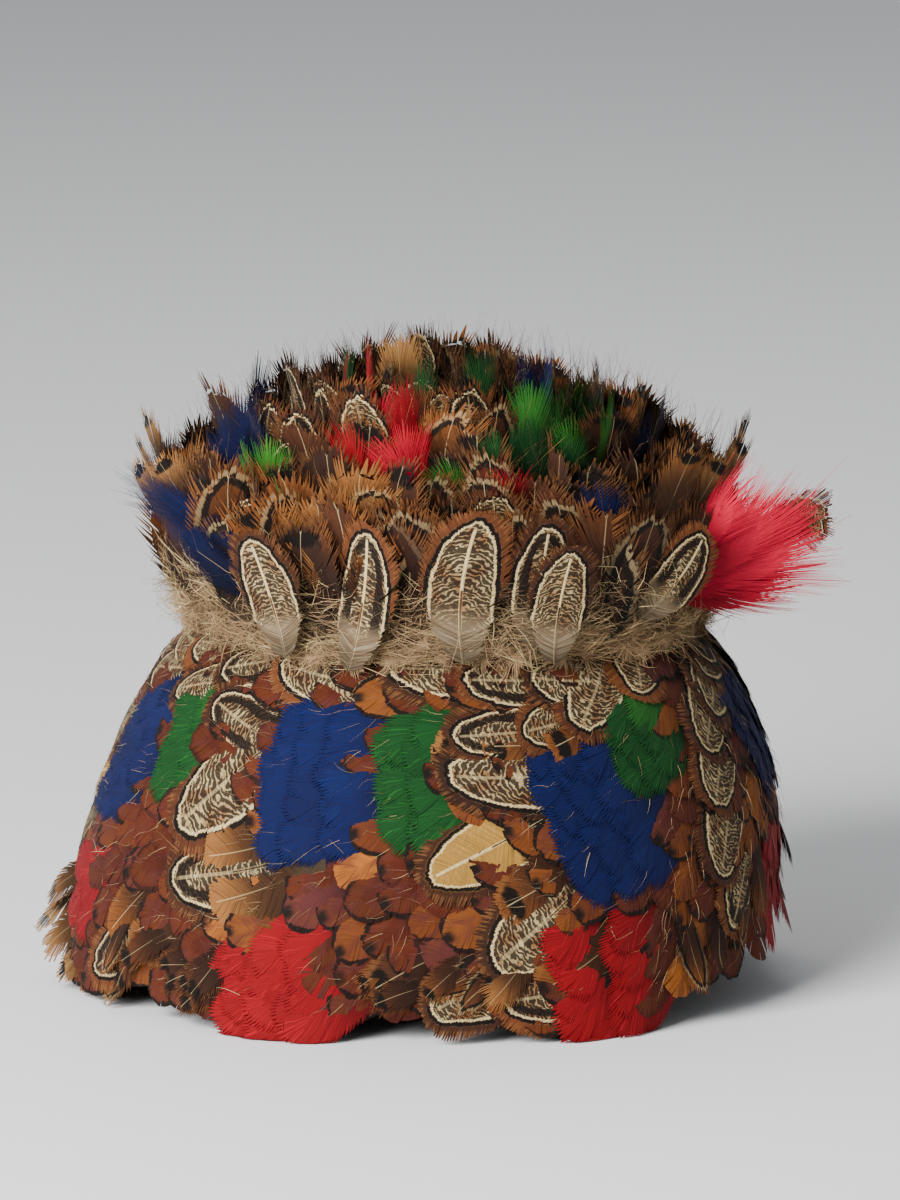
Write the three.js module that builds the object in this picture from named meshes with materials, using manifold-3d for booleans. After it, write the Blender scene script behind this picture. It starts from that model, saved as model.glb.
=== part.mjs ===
// A feather-covered hat: a felt crown on a deep, wavy, turned-down felt brim.
// The brim wears a flat coat of rust feathers, with patches of dyed and barred feathers on it.
// The crown wears rings of feathers that stand up and lean outwards, with down round their foot.
// Units are millimetres and +Z is up. Azimuth 0 is the front (-Y), and it grows towards +X.
import * as THREE from "three";
import { mergeVertices } from "three/addons/utils/BufferGeometryUtils.js";
import Module from "manifold-3d";

const wasm = await Module();
wasm.setup();

// Driving dimensions
const HEAD_ROOM = 182; // inside width of the crown at the neck, for a 57 cm head
const FELT = 2; // felt wall
const NECK_HEIGHT = 142; // from the table to the joint of crown and brim
const CROWN_HEIGHT = 66; // felt crown above the neck
const BRIM_REACH = 140.5; // outer radius of the felt brim near its edge
const CROWN_SHIFT = 7; // the crown sits this far off the brim's centre, towards +X
const COAT = 1.3; // thickness of the flat feather coat
const PATCH = 1.2; // thickness of the patches and the collar on the coat
const SEAT = 0.85; // gap under a feather layer, wide enough for its flat facets to clear
const JOINT = 0.3; // gap between other pieces that touch
const SOLE_PRESS = 1.3; // the folds that carry the hat are pressed flat by this much
const FEATHER_LENGTH = 60; // a standing feather of the crown
const RING_WALL = 1.3; // thickness of a ring of standing feathers
const DOWN_SWELL = 6; // how far the down stands out from the feathers
const DOWN_HEIGHT = 26; // how high it reaches above the neck
const PLUME_REACH = 45; // how far the red plume stands out from the crown's feathers
const PLUME_THICKNESS = 3;
const UNITS = 7; // the pattern of patches repeats this many times round the brim
const FIRST_UNIT = -21.5; // azimuth of the first blue patch, in degrees

const NECK_RADIUS = HEAD_ROOM / 2 + FELT;
const UNIT_TURN = 360 / UNITS;

// Facets: the fewest that keep the curves true
const BRIM_COLUMNS = 54;
const BRIM_ROWS = 7;
const SHOULDER_ROWS = 2; // of these, the rows from the neck that are the shoulder's own piece
const CROWN_COLUMNS = 27;
const CROWN_WALL_ROWS = 4; // rows of the crown's section below the seam of its tip
const PATCH_CORNERS = 10;
const DOWN_COLUMNS = 45;

// The brim's section, evenly spaced along the felt from neck to edge.
// out is a share of the overhang, down a share of the drop.
const BRIM_SECTION = [
  { out: -0.05, down: -0.03 },
  { out: 0.16, down: 0.04 },
  { out: 0.35, down: 0.115 },
  { out: 0.52, down: 0.22 },
  { out: 0.67, down: 0.34 },
  { out: 0.81, down: 0.47 },
  { out: 0.915, down: 0.6 },
  { out: 0.975, down: 0.74 },
  { out: 1.0, down: 0.88 },
  { out: 0.99, down: 1.0 },
];

// The folds of the brim's edge, in degrees of azimuth.
// lift is a share of the neck height, bulge a share of the brim's reach.
const BRIM_FOLDS = [
  { azimuth: -156, lift: 0, bulge: 0.02 },
  { azimuth: -131, lift: 0.06, bulge: -0.025 },
  { azimuth: -106, lift: 0, bulge: 0.005 },
  { azimuth: -78, lift: 0, bulge: 0.02 },
  { azimuth: -51, lift: 0.075, bulge: -0.03 },
  { azimuth: -26, lift: 0, bulge: 0.025 },
  { azimuth: -2, lift: 0.085, bulge: -0.045 },
  { azimuth: 25, lift: 0, bulge: 0.03 },
  { azimuth: 51, lift: 0.125, bulge: 0.01 },
  { azimuth: 79, lift: 0.25, bulge: -0.025 },
  { azimuth: 101, lift: 0.25, bulge: -0.035 },
  { azimuth: 128, lift: 0.1, bulge: -0.01 },
  { azimuth: 152, lift: 0, bulge: 0.02 },
  { azimuth: 178, lift: 0.06, bulge: -0.03 },
];

// The crown's section from neck to top. out is a share of the neck radius, up of the crown's height.
const CROWN_SECTION = [
  { out: 1.0, up: 0 },
  { out: 1.0, up: 0.16 },
  { out: 0.985, up: 0.32 },
  { out: 0.945, up: 0.48 },
  { out: 0.86, up: 0.65 },
  { out: 0.71, up: 0.8 },
  { out: 0.5, up: 0.91 },
  { out: 0.25, up: 0.975 },
  { out: 0, up: 1 },
];

// Rings of standing feathers, from the neck to the top. seat is where the ring is fixed, as a share of the
// crown's height, and long a share of the feather length. lean is the slope at the foot, in degrees from
// upright, and flare is what the tips add to it. notch is the depth between tips, as a share of the ring.
const FEATHER_RINGS = [
  { name: "crown_row_1", seat: 0.02, long: 1.08, lean: 11, flare: 6, tips: 27, notch: 0.2 },
  { name: "crown_row_2", seat: 0.26, long: 0.99, lean: 15, flare: 6, tips: 27, notch: 0.2 },
  { name: "crown_row_3", seat: 0.48, long: 0.87, lean: 12, flare: 6, tips: 25, notch: 0.24 },
  { name: "crown_row_4", seat: 0.7, long: 0.82, lean: 8, flare: 6, tips: 21, notch: 0.26 },
  { name: "crown_row_5", seat: 0.86, long: 0.81, lean: 5, flare: 6, tips: 15, notch: 0.28 },
  { name: "crown_row_6", seat: 0.945, long: 0.82, lean: 2, flare: 6, tips: 10, notch: 0.3 },
  { name: "crown_top_tuft", seat: 0.985, long: 0.83, lean: 0, flare: 5, tips: 6, notch: 0.35 },
];

// Patches of each unit. turn and wide are shares of the unit's turn, measured from its blue patch.
// down is the place of the centre between neck and edge, tall half the height, slant the lean of the top.
const PATCHES = [
  { kind: "blue", turn: 0, wide: 0.175, down: 0.43, tall: 0.19, slant: 0.03 },
  { kind: "green", turn: 0.385, wide: 0.09, down: 0.4, tall: 0.16, slant: -0.03 },
  { kind: "red", turn: -0.07, wide: 0.175, down: 0.845, tall: 0.11, slant: 0.02 },
  { kind: "barred", turn: 0.59, wide: 0.08, down: 0.6, tall: 0.3, slant: -0.02 },
];
const PATCH_TIP = 1.04; // a feather's tip stands this much beyond the patch's outline
const PATCH_NOTCH = 0.9; // and the notch between two tips stays this much inside it
const PATCH_MIDDLE = 0.55; // where the patch is bent once between its centre and its outline

// Where the rust coat ends, and the collar on the shoulder of the brim, in shares of the way to the edge
const COAT_END = 0.985;
const COLLAR = { start: 0.03, bend: 0.11, notch: 0.16, tip: 0.215, tips: 24 };

// The down's section. out is a share of its swell, up of its height.
const DOWN_SECTION = [
  { out: 0, up: 0.04 },
  { out: 0.75, up: 0.06 },
  { out: 1, up: 0.4 },
  { out: 0.8, up: 0.75 },
  { out: 0, up: 1 },
];
const DOWN_LUMPS = { turns: 9, depth: 0.2, dip: 0.12 };

// A plume's feathers, foot and tips. out is a share of the plume's reach beyond the crown's feathers, and
// up a share of the feather length above the neck.
const RED_PLUME = {
  foot: { azimuth: 82, out: 0, up: 0.42 },
  tips: [
    { azimuth: 82, out: 0.25, up: 1.08 },
    { azimuth: 83, out: 0.65, up: 0.98 },
    { azimuth: 84, out: 0.97, up: 0.76 },
    { azimuth: 85, out: 1, up: 0.54 },
    { azimuth: 86, out: 0.86, up: 0.34 },
  ],
};
const BLUE_PLUME = {
  foot: { azimuth: -35, out: 0, up: 0.84 },
  tips: [
    { azimuth: -76, out: 0.28, up: 1.08 },
    { azimuth: -70, out: 0.2, up: 0.86 },
    { azimuth: -52, out: 0.12, up: 0.56 },
  ],
};
const PLUME_LEVELS = [
  { reach: 0, swell: 0 },
  { reach: 0.4, swell: 1 },
  { reach: 0.8, swell: 0.6 },
  { reach: 1, swell: 0 },
];
const PLUME_NOTCH = 0.88; // reach of the notch between two feathers

// Colours seen in the feathers
const COLOURS = {
  felt: { color: 0x33231b, roughness: 0.95, metalness: 0 },
  rust: { color: 0x7b4228, roughness: 0.7, metalness: 0 },
  blue: { color: 0x27376f, roughness: 0.7, metalness: 0 },
  green: { color: 0x1f6b36, roughness: 0.7, metalness: 0 },
  red: { color: 0xb3242c, roughness: 0.7, metalness: 0 },
  barred: { color: 0xc9b287, roughness: 0.7, metalness: 0 },
  tan: { color: 0x9c6a3a, roughness: 0.7, metalness: 0 },
  down: { color: 0x8a7766, roughness: 0.95, metalness: 0 },
};

// Small helpers
const mix = THREE.MathUtils.lerp;
const radians = THREE.MathUtils.degToRad;
const turnFrom = (start, end) => THREE.MathUtils.euclideanModulo(end - start, 360);
const list = (length, make) => Array.from({ length }, (_, i) => make(i));

function polar(azimuth, radius, height, centreX = 0) {
  const turn = radians(azimuth);
  return new THREE.Vector3(centreX + radius * Math.sin(turn), -radius * Math.cos(turn), height);
}

// A smooth value between evenly spaced rows of a table.
function along(table, column, share) {
  const place = THREE.MathUtils.clamp(share, 0, 1) * (table.length - 1);
  const row = Math.min(Math.floor(place), table.length - 2);
  const at = (i) => table[THREE.MathUtils.clamp(i, 0, table.length - 1)][column];
  const curve = new THREE.SplineCurve(list(4, (i) => new THREE.Vector2(i, at(row - 1 + i))));
  return curve.getPoint((1 + place - row) / 3).y;
}

// A straight value between rows of a table, whose steps need not be even.
function between(table, from, to, value) {
  const high = Math.max(table.findIndex((row) => row[from] >= value), 1);
  const [a, b] = [table[high - 1], table[high]];
  return THREE.MathUtils.mapLinear(value, a[from], b[from], a[to], b[to]);
}

// A value that eases from row to row of a table of azimuths that runs right round.
function around(table, column, azimuth) {
  const turn = turnFrom(table[0].azimuth, azimuth);
  const found = table.findIndex((row) => turnFrom(table[0].azimuth, row.azimuth) > turn);
  const after = found < 0 ? 0 : found;
  const before = (after + table.length - 1) % table.length;
  const span = turnFrom(table[before].azimuth, table[after].azimuth);
  const share = THREE.MathUtils.smoothstep(turnFrom(table[before].azimuth, azimuth), 0, span);
  return mix(table[before][column], table[after][column], share);
}

// The felt's outer surface on the brim: azimuth in degrees, share 0 at the neck and 1 at the edge.
function brimPoint(azimuth, share) {
  const lift = around(BRIM_FOLDS, "lift", azimuth) * NECK_HEIGHT;
  const sole = lift - SOLE_PRESS * (1 - Math.min(lift / FELT, 1));
  const bulge = around(BRIM_FOLDS, "bulge", azimuth) * BRIM_REACH * share * share;
  const out = along(BRIM_SECTION, "out", share);
  const down = along(BRIM_SECTION, "down", share);
  const radius = mix(NECK_RADIUS, BRIM_REACH, out) + bulge;
  return polar(azimuth, radius, mix(NECK_HEIGHT, sole, down), CROWN_SHIFT * (1 - share));
}

// A point at a height above that surface.
function onBrim(azimuth, share, height) {
  const step = { turn: 0.5, share: 0.005 };
  const across = brimPoint(azimuth + step.turn, share).sub(brimPoint(azimuth - step.turn, share));
  const down = brimPoint(azimuth, Math.min(share + step.share, 1));
  down.sub(brimPoint(azimuth, Math.max(share - step.share, 0)));
  return brimPoint(azimuth, share).addScaledVector(down.cross(across).normalize(), height);
}

// Solids and their cuts
function solidOf(geometry) {
  const bare = geometry.clone();
  bare.deleteAttribute("normal");
  bare.deleteAttribute("uv");
  const merged = mergeVertices(bare, 1e-4);
  const triVerts = new Uint32Array(merged.index.array);
  const vertProperties = new Float32Array(merged.attributes.position.array);
  return new wasm.Manifold(new wasm.Mesh({ numProp: 3, vertProperties, triVerts }));
}

function geometryOf(solid) {
  const { vertProperties, triVerts } = solid.getMesh();
  const geometry = new THREE.BufferGeometry();
  geometry.setAttribute("position", new THREE.BufferAttribute(new Float32Array(vertProperties), 3));
  geometry.setIndex(new THREE.BufferAttribute(new Uint32Array(triVerts), 1));
  geometry.computeVertexNormals();
  return geometry;
}

// All that lies above a level plane, or below it where side is -1.
function halfSpace(height, side) {
  const size = 4 * BRIM_REACH;
  const box = new THREE.BoxGeometry(size, size, size);
  return solidOf(box.translate(0, 0, height + (side * size) / 2));
}

// What lies between two level planes.
const slice = (solid, low, high) => solid.subtract(halfSpace(low, -1)).subtract(halfSpace(high, 1));

// A solid from a grid of points whose columns run right round. Its rows do so too, or end in a point.
function gridSolid(rows, { roundRows = false } = {}) {
  const width = rows[0].length;
  const at = (r, c) => (r % rows.length) * width + (c % width);
  const index = [];
  for (let r = 0; r < rows.length - (roundRows ? 0 : 1); r++)
    for (let c = 0; c < width; c++) {
      index.push(at(r, c), at(r, c + 1), at(r + 1, c + 1));
      index.push(at(r, c), at(r + 1, c + 1), at(r + 1, c));
    }
  return solidOf(new THREE.BufferGeometry().setFromPoints(rows.flat()).setIndex(index));
}

// A shell on the brim between two heights above the felt. edges gives the share of each row at a column.
function brimShell(bottom, top, columns, edges) {
  const skin = (height) =>
    edges.map((share) => list(columns, (c) => onBrim((c * 360) / columns, share(c), height)));
  return gridSolid([...skin(bottom), ...skin(top).toReversed()], { roundRows: true });
}

const evenEdges = (start, end) => list(BRIM_ROWS + 1, (r) => () => mix(start, end, r / BRIM_ROWS));

// Felt pieces
// The felt of the brim between two rows, counted from the neck.
function brimFelt(first, last) {
  const gap = first > 0 ? JOINT / BRIM_REACH : 0;
  const edges = list(last - first + 1, (r) => () => (first + r) / BRIM_ROWS + (r === 0 ? gap : 0));
  return geometryOf(slice(brimShell(-FELT, 0, BRIM_COLUMNS, edges), 0, NECK_HEIGHT));
}

// The felt of the crown between two rows of its section.
function crownFelt(first, last) {
  const base = NECK_HEIGHT + JOINT;
  const gap = (row) => (row === last && last < CROWN_SECTION.length - 1 ? JOINT : 0);
  const skin = (wall) =>
    list(last - first + 1, (r) => {
      const { out, up } = CROWN_SECTION[first + r];
      const height = base + up * (CROWN_HEIGHT - wall) - gap(first + r);
      return new THREE.Vector2(out * (NECK_RADIUS - wall), height);
    });
  const loop = [...skin(FELT).toReversed(), ...skin(0)];
  if (loop[0].x > 0) loop.push(loop[0].clone());
  const lathe = new THREE.LatheGeometry(loop, CROWN_COLUMNS);
  return geometryOf(solidOf(lathe.rotateX(Math.PI / 2).translate(CROWN_SHIFT, 0, 0)));
}

// Feather layers on the brim
const coatTop = SEAT + COAT;
const patchBottom = coatTop + SEAT;
const patchTop = patchBottom + PATCH;

function rustCoat() {
  const shell = brimShell(SEAT, coatTop, BRIM_COLUMNS, evenEdges(0, COAT_END));
  return geometryOf(slice(shell, JOINT, NECK_HEIGHT - JOINT));
}

// A ring of feathers that lies on the coat, with a tip at every other column.
function mottledCollar() {
  const { start, bend, notch, tip, tips } = COLLAR;
  const edges = [() => start, () => bend, (c) => (c % 2 ? notch : tip)];
  const shell = brimShell(patchBottom, patchTop, 2 * tips, edges);
  return geometryOf(slice(shell, 0, NECK_HEIGHT - JOINT));
}

// A plate on the coat whose outline is a ring of feather tips.
function patchPlate({ wide, down, tall, slant }, azimuth) {
  const corner = (i, share, height) => {
    const turn = (i / PATCH_CORNERS) * 2 * Math.PI;
    const reach = share * (i % 2 ? PATCH_NOTCH : PATCH_TIP);
    const across = Math.sin(turn) * reach;
    const drop = Math.cos(turn) * reach * tall + across * slant;
    return onBrim(azimuth + across * wide * UNIT_TURN, down + drop, height);
  };
  const ring = (share, height) => list(PATCH_CORNERS, (i) => corner(i, share, height));
  const shares = [0, PATCH_MIDDLE, 1];
  const skin = (height) => shares.map((share) => ring(share, height));
  return geometryOf(gridSolid([...skin(patchBottom), ...skin(patchTop).toReversed()]));
}

// Feathers on the crown
const crownRadius = (up) => between(CROWN_SECTION, "up", "out", up) * NECK_RADIUS;

// The section of a ring of standing feathers, foot to tip, at one face of its wall.
function ringPoint({ seat, long, lean, flare }, reach, thick) {
  const tilt = radians(lean + flare * reach);
  return {
    radius: crownRadius(seat) + JOINT + thick + reach * long * FEATHER_LENGTH * Math.sin(tilt),
    height: seat * CROWN_HEIGHT + 2 * JOINT + reach * long * FEATHER_LENGTH * Math.cos(tilt),
  };
}

const RING_LEVELS = [0, 0.5, 1];

// A ring of standing feathers: a band round the crown that splits into tips.
function featherRing(ring) {
  const columns = 2 * ring.tips;
  const place = (level, column, thick) => {
    const reach = level === 1 && column % 2 ? 1 - ring.notch : level;
    const { radius, height } = ringPoint(ring, reach, thick);
    return polar((column / columns) * 360, radius, NECK_HEIGHT + height, CROWN_SHIFT);
  };
  const skin = (thick) => RING_LEVELS.map((level) => list(columns, (c) => place(level, c, thick)));
  return geometryOf(gridSolid([...skin(RING_WALL), ...skin(0).toReversed()], { roundRows: true }));
}

// A point outside the lowest ring of feathers: height above the neck, and distance from the feathers.
function besideCrown(azimuth, height, distance) {
  const face = RING_LEVELS.map((level) => ringPoint(FEATHER_RINGS[0], level, RING_WALL));
  const inFace = THREE.MathUtils.clamp(height, face[0].height, face.at(-1).height);
  const radius = between(face, "height", "radius", inFace) + JOINT + distance;
  return polar(azimuth, radius, NECK_HEIGHT + height, CROWN_SHIFT);
}

// Down: a lumpy ring round the foot of the lowest feathers.
function neckDown() {
  const { turns, depth, dip } = DOWN_LUMPS;
  const foot = ringPoint(FEATHER_RINGS[0], 0, 0).height;
  const place = ({ out, up }, column) => {
    const azimuth = (column / DOWN_COLUMNS) * 360;
    const lump = (1 + Math.sin(radians(azimuth * turns))) / 2;
    const height = foot + up * (1 - dip * lump) * (DOWN_HEIGHT - foot);
    return besideCrown(azimuth, height, out * DOWN_SWELL * (1 - depth * lump));
  };
  const rows = DOWN_SECTION.map((part) => list(DOWN_COLUMNS, (c) => place(part, c)));
  return geometryOf(gridSolid(rows, { roundRows: true }));
}

// A plume: feathers that fan out from one foot, with a notch between each two.
function plume({ foot, tips }) {
  const tipOf = (column) => {
    const [a, b] = [tips[Math.floor(column / 2)], tips[Math.ceil(column / 2)]];
    return Object.fromEntries(Object.keys(a).map((key) => [key, (a[key] + b[key]) / 2]));
  };
  const columns = 2 * tips.length - 1;
  const place = (level, column) => {
    const reach = level.reach === 1 && column % 2 ? PLUME_NOTCH : level.reach;
    const tip = tipOf(column);
    const mixed = (key) => mix(foot[key], tip[key], reach);
    return besideCrown(mixed("azimuth"), mixed("up") * FEATHER_LENGTH, mixed("out") * PLUME_REACH);
  };
  const face = PLUME_LEVELS.map((level) => list(columns, (c) => place(level, c)));
  const across = face.at(-1).at(-1).clone().sub(face.at(-1)[0]);
  const forward = face.at(-1)[tips.length - 1].clone().sub(face[0][0]);
  const normal = across.cross(forward).normalize();
  const loop = (row, r) => {
    const half = (PLUME_LEVELS[r].swell * PLUME_THICKNESS) / 2;
    const side = (sign) => row.map((point) => point.clone().addScaledVector(normal, sign * half));
    return [...side(1), ...side(-1).toReversed()];
  };
  return geometryOf(gridSolid(face.map(loop)));
}

// Assembly
const hat = new THREE.Group();

function add(name, geometry, colour) {
  const mesh = new THREE.Mesh(geometry, new THREE.MeshStandardMaterial(COLOURS[colour]));
  mesh.name = name;
  hat.add(mesh);
}

add("brim_felt", brimFelt(SHOULDER_ROWS, BRIM_ROWS), "felt");
add("shoulder_felt", brimFelt(0, SHOULDER_ROWS), "felt");
add("rust_coat", rustCoat(), "rust");
add("mottled_collar", mottledCollar(), "barred");
for (let unit = 0; unit < UNITS; unit++)
  for (const patch of PATCHES) {
    const azimuth = FIRST_UNIT + (unit + patch.turn) * UNIT_TURN;
    add(`${patch.kind}_patch_${unit + 1}`, patchPlate(patch, azimuth), patch.kind);
  }
add("crown_felt", crownFelt(0, CROWN_WALL_ROWS), "felt");
add("crown_tip_felt", crownFelt(CROWN_WALL_ROWS, CROWN_SECTION.length - 1), "felt");
for (const ring of FEATHER_RINGS) add(ring.name, featherRing(ring), "tan");
add("neck_down", neckDown(), "down");
add("red_plume", plume(RED_PLUME), "red");
add("blue_plume", plume(BLUE_PLUME), "blue");

// The origin is the middle of the hat's footprint.
const middle = new THREE.Box3().setFromObject(hat).getCenter(new THREE.Vector3());
hat.position.set(-middle.x, -middle.y, 0);

export default hat;
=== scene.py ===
"""A feather-covered hat: its feathers, down, felt and stage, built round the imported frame."""

import math

import bpy
import numpy as np
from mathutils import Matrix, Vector
from mathutils.bvhtree import BVHTree


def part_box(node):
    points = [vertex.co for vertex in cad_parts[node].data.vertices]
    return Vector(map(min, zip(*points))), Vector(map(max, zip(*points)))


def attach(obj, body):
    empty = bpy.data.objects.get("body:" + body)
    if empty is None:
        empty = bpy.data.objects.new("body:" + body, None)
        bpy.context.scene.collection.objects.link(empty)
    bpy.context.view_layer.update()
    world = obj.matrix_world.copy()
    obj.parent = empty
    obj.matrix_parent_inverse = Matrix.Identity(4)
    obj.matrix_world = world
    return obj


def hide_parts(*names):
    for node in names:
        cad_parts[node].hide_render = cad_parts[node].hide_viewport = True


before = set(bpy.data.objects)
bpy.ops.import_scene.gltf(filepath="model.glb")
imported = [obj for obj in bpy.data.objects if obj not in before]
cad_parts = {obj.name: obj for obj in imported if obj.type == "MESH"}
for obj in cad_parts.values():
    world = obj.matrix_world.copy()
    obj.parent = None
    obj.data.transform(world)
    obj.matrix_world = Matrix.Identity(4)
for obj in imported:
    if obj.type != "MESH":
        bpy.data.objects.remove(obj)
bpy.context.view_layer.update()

bl_info = {
    "name": "Feather hat",
    "version": (1, 0, 0),
    "blender": (4, 5, 0),
    "location": "3D View > Sidebar > Feather hat",
    "description": "Covers the hat's felt with flat, standing and dyed feathers",
    "category": "Object",
}

MM = 0.001
UNITS = 7
FIRST_UNIT = -21.5
UNIT_TURN = 360 / UNITS
# How much higher a point looks from the front for each metre that it lies further back
SIGHT_RISE = 0.194
# Distance of the lowest feathers from the floor, in metres
FLOOR_GAP = 0.0003
# Share of the slope from which the edge's feathers stand off, and by how much
EDGE_START, EDGE_FLARE = 0.93, 0.05
# How much larger single feathers are than their tables say, since their rims are split
SINGLE_LONG, SINGLE_WIDE = 1.2, 1.25
# How many hairs and tufts there are
STRAY_HAIRS = 2600
TUFTS, TUFT_HAIRS, CREAM_HAIRS = 1150, 15, 1400
WISPS = 1500
AXIS = (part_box("crown_felt")[0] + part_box("crown_felt")[1]) / 2
# The camera's distance from the hat, in metres
DISTANCE = 5.0
RINGS = [f"crown_row_{i}" for i in range(1, 7)] + ["crown_top_tuft"]


def tone(red, green, blue):
    """A colour as seen on a screen, given from 0 to 255, as the linear one that shaders take."""
    parts = [c / 255 for c in (red, green, blue)]
    return (*[c / 12.92 if c < 0.04045 else ((c + 0.055) / 1.055) ** 2.4 for c in parts], 1.0)


class FeatherHatSizes(bpy.types.PropertyGroup):
    feather_length: bpy.props.FloatProperty(
        name="Feather length", description="Length of a flat feather", default=0.048, unit="LENGTH"
    )
    feather_width: bpy.props.FloatProperty(
        name="Feather width", description="Width of a flat feather", default=0.0235, unit="LENGTH"
    )
    row_step: bpy.props.FloatProperty(
        name="Row step", description="Distance between rows of flat feathers", default=0.013, unit="LENGTH"
    )
    tip_rise: bpy.props.FloatProperty(
        name="Tip rise", description="How far a flat feather lifts at its tip", default=0.0036, unit="LENGTH"
    )
    down_length: bpy.props.FloatProperty(
        name="Down length", description="Its longest hairs", default=0.024, unit="LENGTH"
    )
    wildness: bpy.props.FloatProperty(
        name="Wildness", description="How far feathers stray from even rows", default=1.0, min=0, max=2
    )


class FeatherHatColours(bpy.types.PropertyGroup):
    felt: bpy.props.FloatVectorProperty(
        name="Felt", description="Felt under the feathers", subtype="COLOR", size=4, default=tone(
            40, 26, 20
        )
    )
    rust: bpy.props.FloatVectorProperty(
        name="Rust", description="Flat feathers of the brim", subtype="COLOR", size=4, default=tone(
            74, 27, 12
        )
    )
    golden: bpy.props.FloatVectorProperty(
        name="Golden", description="Golden tan feathers", subtype="COLOR", size=4, default=tone(112, 62, 22)
    )
    brown: bpy.props.FloatVectorProperty(
        name="Brown", description="Dark bars and edges", subtype="COLOR", size=4, default=tone(26, 16, 11)
    )
    cream: bpy.props.FloatVectorProperty(
        name="Cream", description="Pale rings and quills", subtype="COLOR", size=4, default=tone(
            188, 166, 120
        )
    )
    blue: bpy.props.FloatVectorProperty(
        name="Blue", description="Dyed blue feathers", subtype="COLOR", size=4, default=tone(7, 16, 58)
    )
    green: bpy.props.FloatVectorProperty(
        name="Green", description="Dyed green feathers", subtype="COLOR", size=4, default=tone(10, 56, 20)
    )
    red: bpy.props.FloatVectorProperty(
        name="Red", description="Dyed red feathers", subtype="COLOR", size=4, default=tone(124, 6, 15)
    )
    down: bpy.props.FloatVectorProperty(
        name="Down", description="Grey-brown down at the neck", subtype="COLOR", size=4, default=tone(
            146, 118, 86
        )
    )


# Node helpers
def feed(tree, socket, value):
    if isinstance(value, bpy.types.NodeSocket):
        tree.links.new(value, socket)
    else:
        socket.default_value = value


def node(tree, kind, inputs=(), **settings):
    made = tree.nodes.new("ShaderNode" + kind)
    for key, value in settings.items():
        setattr(made, key, value)
    for key, value in dict(inputs).items():
        feed(tree, made.inputs[key], value)
    return made


def calc(tree, how, a, b=0.0, c=0.0):
    return node(tree, "Math", {0: a, 1: b, 2: c}, operation=how).outputs[0]


def rise(tree, value, low, high):
    """From 0 to 1 as the value goes from low to high."""
    made = node(
        tree,
        "MapRange",
        {"Value": value, "From Min": low, "From Max": high},
        interpolation_type="SMOOTHSTEP",
    )
    return made.outputs[0]


def band(tree, value, low, high, soft):
    inside = calc(tree, "SUBTRACT", 1.0, rise(tree, value, high - soft, high + soft))
    return calc(tree, "MULTIPLY", rise(tree, value, low - soft, low + soft), inside)


def blend(tree, factor, a, b, how="MIX"):
    made = node(tree, "Mix", {0: factor, 6: a, 7: b}, data_type="RGBA", blend_type=how)
    return made.outputs[2]


def ramp(tree, value, stops):
    made = node(tree, "ValToRGB", {0: value})
    marks = made.color_ramp.elements
    while len(marks) < len(stops):
        marks.new(0.5)
    for mark, (place, colour) in zip(marks, stops):
        mark.position, mark.color = place, colour
    return made.outputs[0]


def noise(tree, vector, scale, detail=2.0, distortion=0.0):
    inputs = {"Vector": vector, "Scale": scale, "Detail": detail, "Distortion": distortion}
    return node(tree, "TexNoise", inputs).outputs[0]


def joined(tree, x, y, z):
    return node(tree, "CombineXYZ", {0: x, 1: y, 2: z}).outputs[0]


def new_group(name, inputs, outputs, fill):
    tree = bpy.data.node_groups.new(name, "ShaderNodeTree")
    for label, kind, value in inputs:
        socket = tree.interface.new_socket(label, in_out="INPUT", socket_type="NodeSocket" + kind)
        socket.default_value = value
    for label, kind in outputs:
        tree.interface.new_socket(label, in_out="OUTPUT", socket_type="NodeSocket" + kind)
    begin, end = tree.nodes.new("NodeGroupInput"), tree.nodes.new("NodeGroupOutput")
    fill(tree, begin.outputs, lambda label, value: feed(tree, end.inputs[label], value))
    return tree


def placed(tree, group, **inputs):
    made = tree.nodes.new("ShaderNodeGroup")
    made.node_tree = group
    for label, value in inputs.items():
        feed(tree, made.inputs[label.replace("_", " ")], value)
    return made.outputs


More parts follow.
